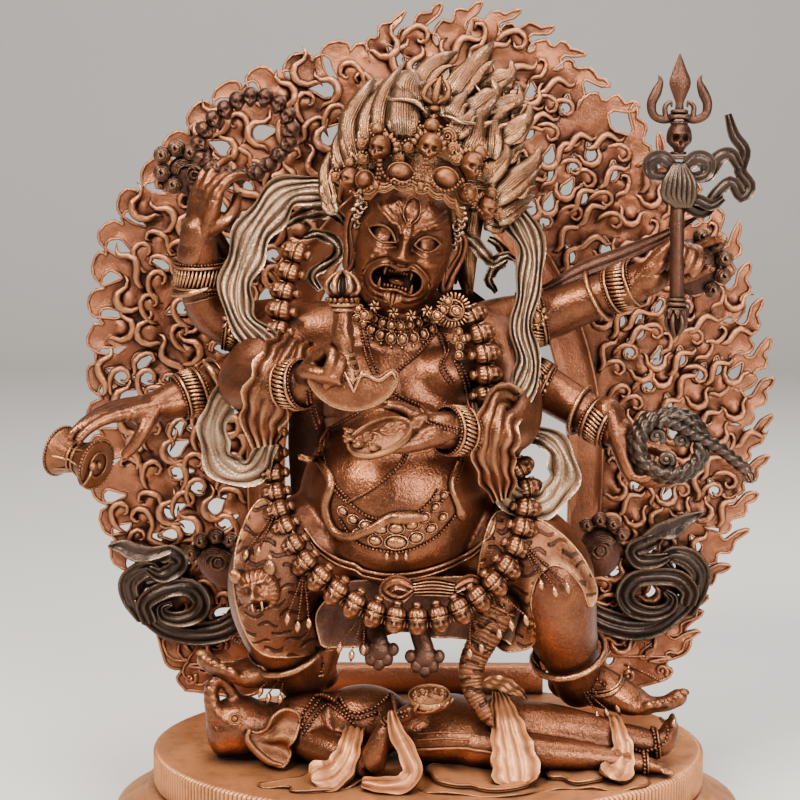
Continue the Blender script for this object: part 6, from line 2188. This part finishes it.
def makeTrampledParts():
    shape, beads = Shape(), Shape()
    ear, rim = Shape(), Shape()
    patch(ear, rim, trampled["ear"], 0.0, earPleats, depth=-25.4, thick=1.4, rim=0.6, net=0.8)
    for part in (ear, rim):
        part.moved(lambda p: p + np.column_stack([0 * p[:, 0], (p[:, 2] - 10) * 0.22 + 0.0 * p[:, 0], 0 * p[:, 0]]))
        shape.join(part)
    roll = curve([(-56.4, -25.6, 12.6, 0.7), (-56.9, -26.4, 9.8, 1.1), (-54.0, -27.2, 6.2, 1.2), (-50, -27.9, 3.2, 1.1), (-46.4, -28, 2.2, 0.8)], 26)
    shape.tube(roll, roll[:, 3], roll[:, 3], 10)
    for reach, size in ((1.9, 0.32), (1.35, 0.25)):
        turn = np.linspace(0, 2 * math.pi, 15)[:-1]
        ring = laidOn(trampledTree, np.column_stack([-61.3 + reach * np.cos(turn), 15.0 + reach * 0.85 * np.sin(turn)]), 0.1, 26)
        shape.tube(ring, size, size, 7)
    spot = laidOn(trampledTree, [(-61.6, 15.0), (-61.0, 15.0)], 0.1, 3)[1]
    shape.copies(egg(14, 8), [spot], sizes=[(1.05, 0.8, 1.0)])
    for k, line in enumerate(trampled["strings"]):
        beadsAlong(beads, laidOn(trampledTree, line, 0.55, 80), 0.66 - 0.06 * k, 1.02)
    hem = laidOn(trampledTree, [(-5.0, 7.6), (5.9, 8.8), (16.4, 8.2), (25.1, 7.2)], 0.3, 40)
    shape.tube(hem, 0.5, 0.5, 7)
    for z in (12.6, 10.8):
        fold = laidOn(trampledTree, [(-3.6, z), (4, z + 1.0), (12, z + 0.4)], 0.1, 24)
        shape.tube(fold, 0.35, 0.35, 6)
    for middle, heading, reach in (((-12.3, -35.5, 17.4), (0.5, 0.05, 0.8), 3.1), ((71.0, -21.8, 7.4), (1, 0, 0.1), 4.9), ((66.6, -30, 3.6), (1, 0, 0), 3.3)):
        beadsAlong(beads, limbRing(middle, heading, reach, 40), 0.6)
        ringed(shape, np.asarray(middle) + unit(np.asarray(heading, float)) * 1.1, heading, reach - 0.2, 0.4, 24)
    swag = curve([(73.4, -19, 14.6), (74.8, -24.6, 13.0), (73.4, -27.2, 9.4), (70.0, -27.3, 7.4), (65.8, -26.8, 6.4), (62.6, -26.6, 8.4)], 50)
    beadsAlong(beads, swag, 0.6)
    return shape, beads


trampledCloth, trampledRims = makeTrampledCloths()
trampledDetail, trampledBeads = makeTrampledParts()
bowl = makeCup((-0.3, -34.6, 26.6), (1, 0.05, 0.03), (0, -0.32, 0.94), (6.3, 5.2), 4.0)
print("trampled", [shape.triangles() for shape in (trampledSkin, trampledCloth, trampledRims, trampledDetail, trampledBeads, bowl)])
piece("trampledBody", trampledSkin, finishes["warm"], ["trampled_figure"], sharp=180, keep=0.5)
piece("trampledCloths", trampledCloth, finishes["disc"], ["trampled_figure"], sharp=60, keep=0.7)
piece("trampledEdges", trampledRims.join(trampledDetail), finishes["gold"], ["trampled_figure"], sharp=70)
piece("trampledBeads", trampledBeads, finishes["warm"], ["trampled_figure"], sharp=180, keep=0.8)
piece("trampledBowl", bowl, finishes["gold"], ["trampled_figure"], sharp=180, keep=0.6)
print("trampled figure ready")


# Bead strings and a raised hem on the guardian's own feet, laid on as (x, z)
footTree = BVHTree.FromPolygons([tuple(p) for p in np.vstack(feet.points)],
                                [tuple(int(i) for i in f) for faces in feet.faces for f in faces])
footLines = {
    "hems": [[(-57.2, 35.7), (-53.9, 31.7), (-48.9, 27.2), (-44.1, 25.6), (-34.2, 26)],
             [(42.3, 21.4), (47.2, 20.7), (53.2, 20.4), (59.3, 23), (63.7, 28.0)]],
    "strings": [[(-64.5, 35.4), (-60.3, 34.4), (-55.2, 33.8), (-50.2, 33), (-46.5, 32.4)], [(-46.2, 36), (-44.9, 29.8)],
                [(-43.4, 36.6), (-40.9, 28.2)], [(-40.6, 36.4), (-40, 27.0)], [(-38.4, 36.4), (-35.8, 27.8)],
                [(-35.4, 34.8), (-33.8, 29.4)], [(-48.7, 35.6), (-44.1, 34.6), (-39.1, 34.8), (-34.0, 35.6)],
                [(64.4, 26.4), (68.7, 27.2), (72.6, 27.2)], [(47.2, 30.5), (45.9, 25), (47.1, 22.7)],
                [(49.1, 26.9), (51.2, 24), (53.3, 21.2)], [(50.3, 29.0), (53.3, 26.0), (55.8, 24.4)]],
}


def makeFootDress():
    shape = Shape()
    for line in footLines["hems"]:
        path = laidOn(footTree, line, 0.25, 50)
        shape.tube(path, 0.75, 0.75, 8)
        shape.tube(path + [0, -0.2, 1.4], 0.35, 0.35, 6)
    for line in footLines["strings"]:
        beadsAlong(shape, laidOn(footTree, line, 0.4, 50), 0.62, 1.02)
    for x, z in ((-40.2, 35.6), (52.0, 30.4)):
        spot = laidOn(footTree, [(x, z), (x + 0.3, z)], 0.9, 3)[1]
        for reach, size in ((2.3, 0.4), (1.2, 0.3)):
            shape.tube(limbRing(spot, (0, 1, 0), reach, 25)[:-1], size, size, 6, closed=True)
        shape.copies(egg(10, 5), [spot], sizes=0.8)
    return shape


piece("footBeads", makeFootDress(), finishes["warm"], sharp=180)


# The dark scarf ends: bands as (x, y, z, half width) that sweep out, roll up in a coil, fold over and end in a leaf
scarfEnds = {
    "right": [
        [(54.4, 49.2, 35.9, 2.0), (60.9, 49.0, 29.0, 3.8), (70.2, 48.8, 25.7, 4.3), (79.4, 48.6, 25.8, 4.0),
         (87.1, 48.4, 30.2, 3.4), (92.6, 48.3, 36.1, 2.7), (93.9, 48.2, 41.2, 2.3)],   # sweep
        [(92.5, 47.6, 34.7, 2.5), (93.1, 47.4, 39.1, 2.7), (88.7, 47.2, 43.5, 2.8), (80.2, 47.0, 44.3, 2.7),
         (73.1, 46.8, 42.9, 2.8), (70.0, 46.8, 37.8, 2.8), (73.0, 47.0, 32.7, 2.7), (79.8, 47.2, 30.8, 2.3),
         (85.4, 47.4, 32.5, 1.9), (87.1, 47.6, 36.1, 1.5), (84.6, 47.8, 38.6, 0.7)],   # coil
        [(92.8, 49.0, 31.4, 2.4), (96.1, 48.8, 38.7, 2.9), (96.7, 48.6, 45.3, 3.4), (93.0, 48.4, 50.1, 3.5),
         (87.2, 48.0, 52.0, 2.7), (84.0, 47.8, 49.9, 1.7), (86.6, 48.0, 46.9, 0.7)],   # lobe
        [(85.0, 47.4, 51.4, 1.1), (80.7, 47.0, 50.0, 2.3), (75.1, 46.8, 50.1, 2.7), (72.5, 46.8, 53.7, 2.3),
         (76.3, 46.6, 55.9, 2.7), (79.8, 46.6, 57.3, 2.0)],   # knot
        [(77.0, 46.6, 58.1, 1.5), (81.1, 46.4, 60.6, 2.3), (86.0, 46.2, 61.7, 3.1), (90.9, 46.4, 64.6, 2.0),
         (97.0, 46.6, 67.5, 0.2)],   # leaf
    ],
    "left": [
        [(-62.4, 49.2, 35.1, 1.7), (-65.7, 49.0, 28.6, 3.4), (-73.6, 48.8, 23.5, 3.8), (-84.2, 48.6, 22.9, 3.8),
         (-92.7, 48.4, 25.1, 3.4), (-99.0, 48.3, 30.3, 2.9), (-100.8, 48.2, 35.4, 2.3)],   # sweep
        [(-98.2, 47.6, 27.4, 2.4), (-99.8, 47.4, 33.3, 2.5), (-95.8, 47.2, 37.3, 2.8), (-88.6, 47.0, 39.9, 2.8),
         (-82.3, 46.8, 39.2, 2.9), (-79.2, 46.8, 34.5, 2.9), (-81.7, 47.0, 30.1, 2.8), (-87.5, 47.2, 28.2, 2.4),
         (-92.4, 47.4, 29.3, 1.9), (-93.5, 47.6, 32.5, 1.3), (-90.3, 47.8, 33.9, 0.7)],   # coil
        [(-100.5, 49.0, 28.5, 2.3), (-104.6, 48.8, 35.1, 2.9), (-105.5, 48.6, 41.0, 3.2),
         (-101.8, 48.4, 45.0, 3.1), (-97.1, 48.0, 46.2, 2.3), (-95.8, 47.8, 43.3, 1.2), (-98.7, 48.0, 41.8, 0.5)],   # lobe
        [(-97.8, 47.4, 46.3, 1.1), (-93.5, 47.0, 44.3, 2.3), (-88.5, 46.8, 46.8, 2.9), (-86.7, 46.8, 50.1, 2.5),
         (-90.5, 46.6, 52.3, 2.7), (-93.3, 46.6, 50.9, 2.0)],   # knot
        [(-90.8, 46.6, 53.7, 1.5), (-96.1, 46.4, 52.3, 2.0), (-101.7, 46.2, 52.4, 2.7),
         (-106.6, 46.4, 54.5, 2.3), (-111.5, 46.6, 54.8, 0.3)],   # leaf
    ],
    "pleats": (3, 2, 2, 2, 1), "thick": 1.0, "ridge": 0.9,
}


def makeScarfEnd(side):
    shape, rims = Shape(), Shape()
    for points, pleats in zip(scarfEnds[side], scarfEnds["pleats"]):
        ribbon(shape, points, pleats, scarfEnds["thick"], scarfEnds["ridge"], (0, -1, 0.12), rows=int(runLength(points) / 0.75),
               wave=0.12, ends=("round", "round"))
        path = curve(points, int(runLength(points) / 0.8))
        heading, face, across = axesAlong(path[:, :3], (0, -1, 0.12))
        for k in (-1, 1):
            rims.tube(path[:, :3] + across * path[:, 3:4] * k + face * 0.35, 0.5, 0.5, 7)
    return shape.join(rims)


for side in ("left", "right"):
    end = makeScarfEnd(side)
    piece(side + "ScarfEnd", end, finishes["dark"], [side + "_scarf_end"], sharp=70, keep=0.66)
    print(side + " scarf end", end.triangles())


# The aureole's lowest flames, which curl down beside the feet: outlines and drop-shaped holes, as (x, z)
lowFlames = [
    ([(57.1, 25.1), (76.4, 26.4), (86.3, 27.4), (92, 29.0), (98, 30.6), (98.6, 29.2), (94.9, 26.4), (92.5, 23.5), (94.3, 21.7),
      (94.7, 18.4), (93, 15), (89.8, 13.2), (86.6, 12.1), (86.3, 9.8), (88.5, 8.4), (86.8, 5.8), (82.5, 4.3), (76.8, 2.4),
      (70.4, 0.6), (58, 0.4)],
     [[(67.9, 17.2), (68.3, 14.3), (67.3, 11), (65.5, 9.8), (64, 11.3), (64.7, 13.9)],
      [(82.5, 19.1), (81.5, 15.8), (79.4, 13.2), (77.3, 12.8), (76.5, 14.7), (78.6, 16.9)],
      [(92.2, 20.6), (91.5, 17.6), (89.8, 15.4), (87.6, 15.8), (87.6, 17.6), (89.7, 19.5)]]),
    ([(-57.6, 26.6), (-77.5, 27.1), (-88.2, 27.1), (-95.6, 23.7), (-95.1, 17.6), (-94.1, 13.6), (-93.1, 10.6), (-90.6, 8.7),
      (-88.1, 8.4), (-87.8, 6.9), (-89.3, 5.4), (-88.6, 3.2), (-86.5, 1.3), (-84, 0.5), (-60, 0.4)],
     [[(-91.9, 16.5), (-89.4, 15), (-88.4, 13.2), (-89.1, 11.7), (-91.3, 12.1), (-92.3, 14.3)],
      [(-80.5, 12.5), (-78.0, 10.6), (-77.2, 8.2), (-79.4, 7.0), (-81.6, 8.6)]]),
]


def makeLowFlames():
    shape, rims = Shape(), Shape()
    for outline, holes in lowFlames:
        patch(shape, rims, outline, 0.0, lambda p: 0.6 * np.sin(p[:, 0] / 2.6 + np.sin(p[:, 1] / 3.1)) * np.sin(p[:, 1] / 3.4),
              depth=52.3, thick=2.2, rim=0.75, net=1.2, holes=holes)
    for (x, z), radius, side in (((84.0, 23.4), 2.6, 1), ((72.4, 19.0), 2.6, -1), ((84.4, 8.4), 2.2, 1), ((72.0, 6.4), 2.4, -1),
                                 ((-84.6, 21.0), 2.8, -1), ((-73.6, 18.2), 2.6, 1), ((-84.4, 5.0), 2.2, -1), ((-71.0, 7.0), 2.4, 1)):
        scroll(rims, np.array([x, 51.9, z]), np.array([1.0, 0, 0]), np.array([0, 0, 1.0]), radius, 1.0, 1.1, side, 0.8)
    return shape.join(rims)


piece("aureoleFoot", makeLowFlames(), finishes["pale"], ["flame_aureole"], sharp=70)


# A pale floor that rises into a pale wall far behind
floorShape = {"reach": 2.2, "behind": 1.3, "bend": 0.5, "height": 2.2}


def makeFloor():
    side = np.linspace(-floorShape["reach"], floorShape["reach"], 3)
    bend = np.linspace(0, math.pi / 2, 20)
    y = np.concatenate([[-1.6], floorShape["behind"] + floorShape["bend"] * np.sin(bend),
                        [floorShape["behind"] + floorShape["bend"]]])
    z = np.concatenate([[0], floorShape["bend"] * (1 - np.cos(bend)), [floorShape["height"]]])
    g = np.stack([side[None, :] + 0 * y[:, None], y[:, None] + 0 * side, z[:, None] + 0 * side], -1)
    n, m = g.shape[:2]
    faces = [(r * m + c, r * m + c + 1, (r + 1) * m + c + 1, (r + 1) * m + c)
             for r in range(n - 1) for c in range(m - 1)]
    mesh = bpy.data.meshes.new("floor")
    mesh.from_pydata(g.reshape(-1, 3).tolist(), [], faces)
    mesh.polygons.foreach_set("use_smooth", np.ones(len(mesh.polygons), bool))
    paper = Finish("paper")
    shade = paper.noise(3.0, 2)
    paper.surface(Base_Color=paper.mix(shade, (0.60, 0.59, 0.575), (0.64, 0.63, 0.615)), Roughness=0.9)
    mesh.materials.append(paper.material)
    floor = bpy.data.objects.new("floor", mesh)
    bpy.context.scene.collection.objects.link(floor)


lamps = {
    "key": {"at": (-0.55, -0.75, 1.05), "size": 0.34, "power": 31.0, "colour": (1.0, 0.93, 0.84)},
    "top": {"at": (0.10, -0.10, 1.20), "size": 0.5, "power": 14.0, "colour": (1.0, 0.95, 0.88)},
    "fill": {"at": (0.50, -0.95, 0.55), "size": 0.45, "power": 18.0, "colour": (1.0, 0.95, 0.9)},
    "rim": {"at": (0.45, 0.55, 0.80), "size": 0.4, "power": 5.0, "colour": (1.0, 0.96, 0.92)},
}


def makeLamps():
    for name, lamp in lamps.items():
        light = bpy.data.lights.new(name, "AREA")
        light.size = lamp["size"]
        light.energy = lamp["power"]
        light.color = lamp["colour"]
        holder = bpy.data.objects.new(name, light)
        holder.location = lamp["at"]
        holder.rotation_euler = (Vector((0, 0, 0.15)) - Vector(lamp["at"])).to_track_quat("-Z", "Y").to_euler()
        bpy.context.scene.collection.objects.link(holder)
    world = bpy.data.worlds.new("room")
    world.use_nodes = True
    sky = world.node_tree.nodes["Background"]
    sky.inputs["Color"].default_value = (0.86, 0.87, 0.9, 1)
    sky.inputs["Strength"].default_value = 0.2
    bpy.context.scene.world = world


# The eye stands half a metre off, a little above the face, and looks 8 degrees down
camera = {"at": (-0.0095, -0.5386, 0.2273), "down": 8.0, "roll": 0.15, "lens": 76.5}


def makeCamera():
    lens = bpy.data.cameras.new("camera")
    lens.lens = camera["lens"]
    lens.sensor_width = 36
    lens.clip_start = 0.01
    eye = bpy.data.objects.new("camera", lens)
    eye.location = camera["at"]
    turn = Matrix.Rotation(math.radians(90 - camera["down"]), 4, "X") @ \
        Matrix.Rotation(math.radians(camera["roll"]), 4, "Z")
    eye.rotation_euler = turn.to_euler()
    bpy.context.scene.collection.objects.link(eye)
    bpy.context.scene.camera = eye


makeFloor()
makeLamps()
makeCamera()
print("stage ready")
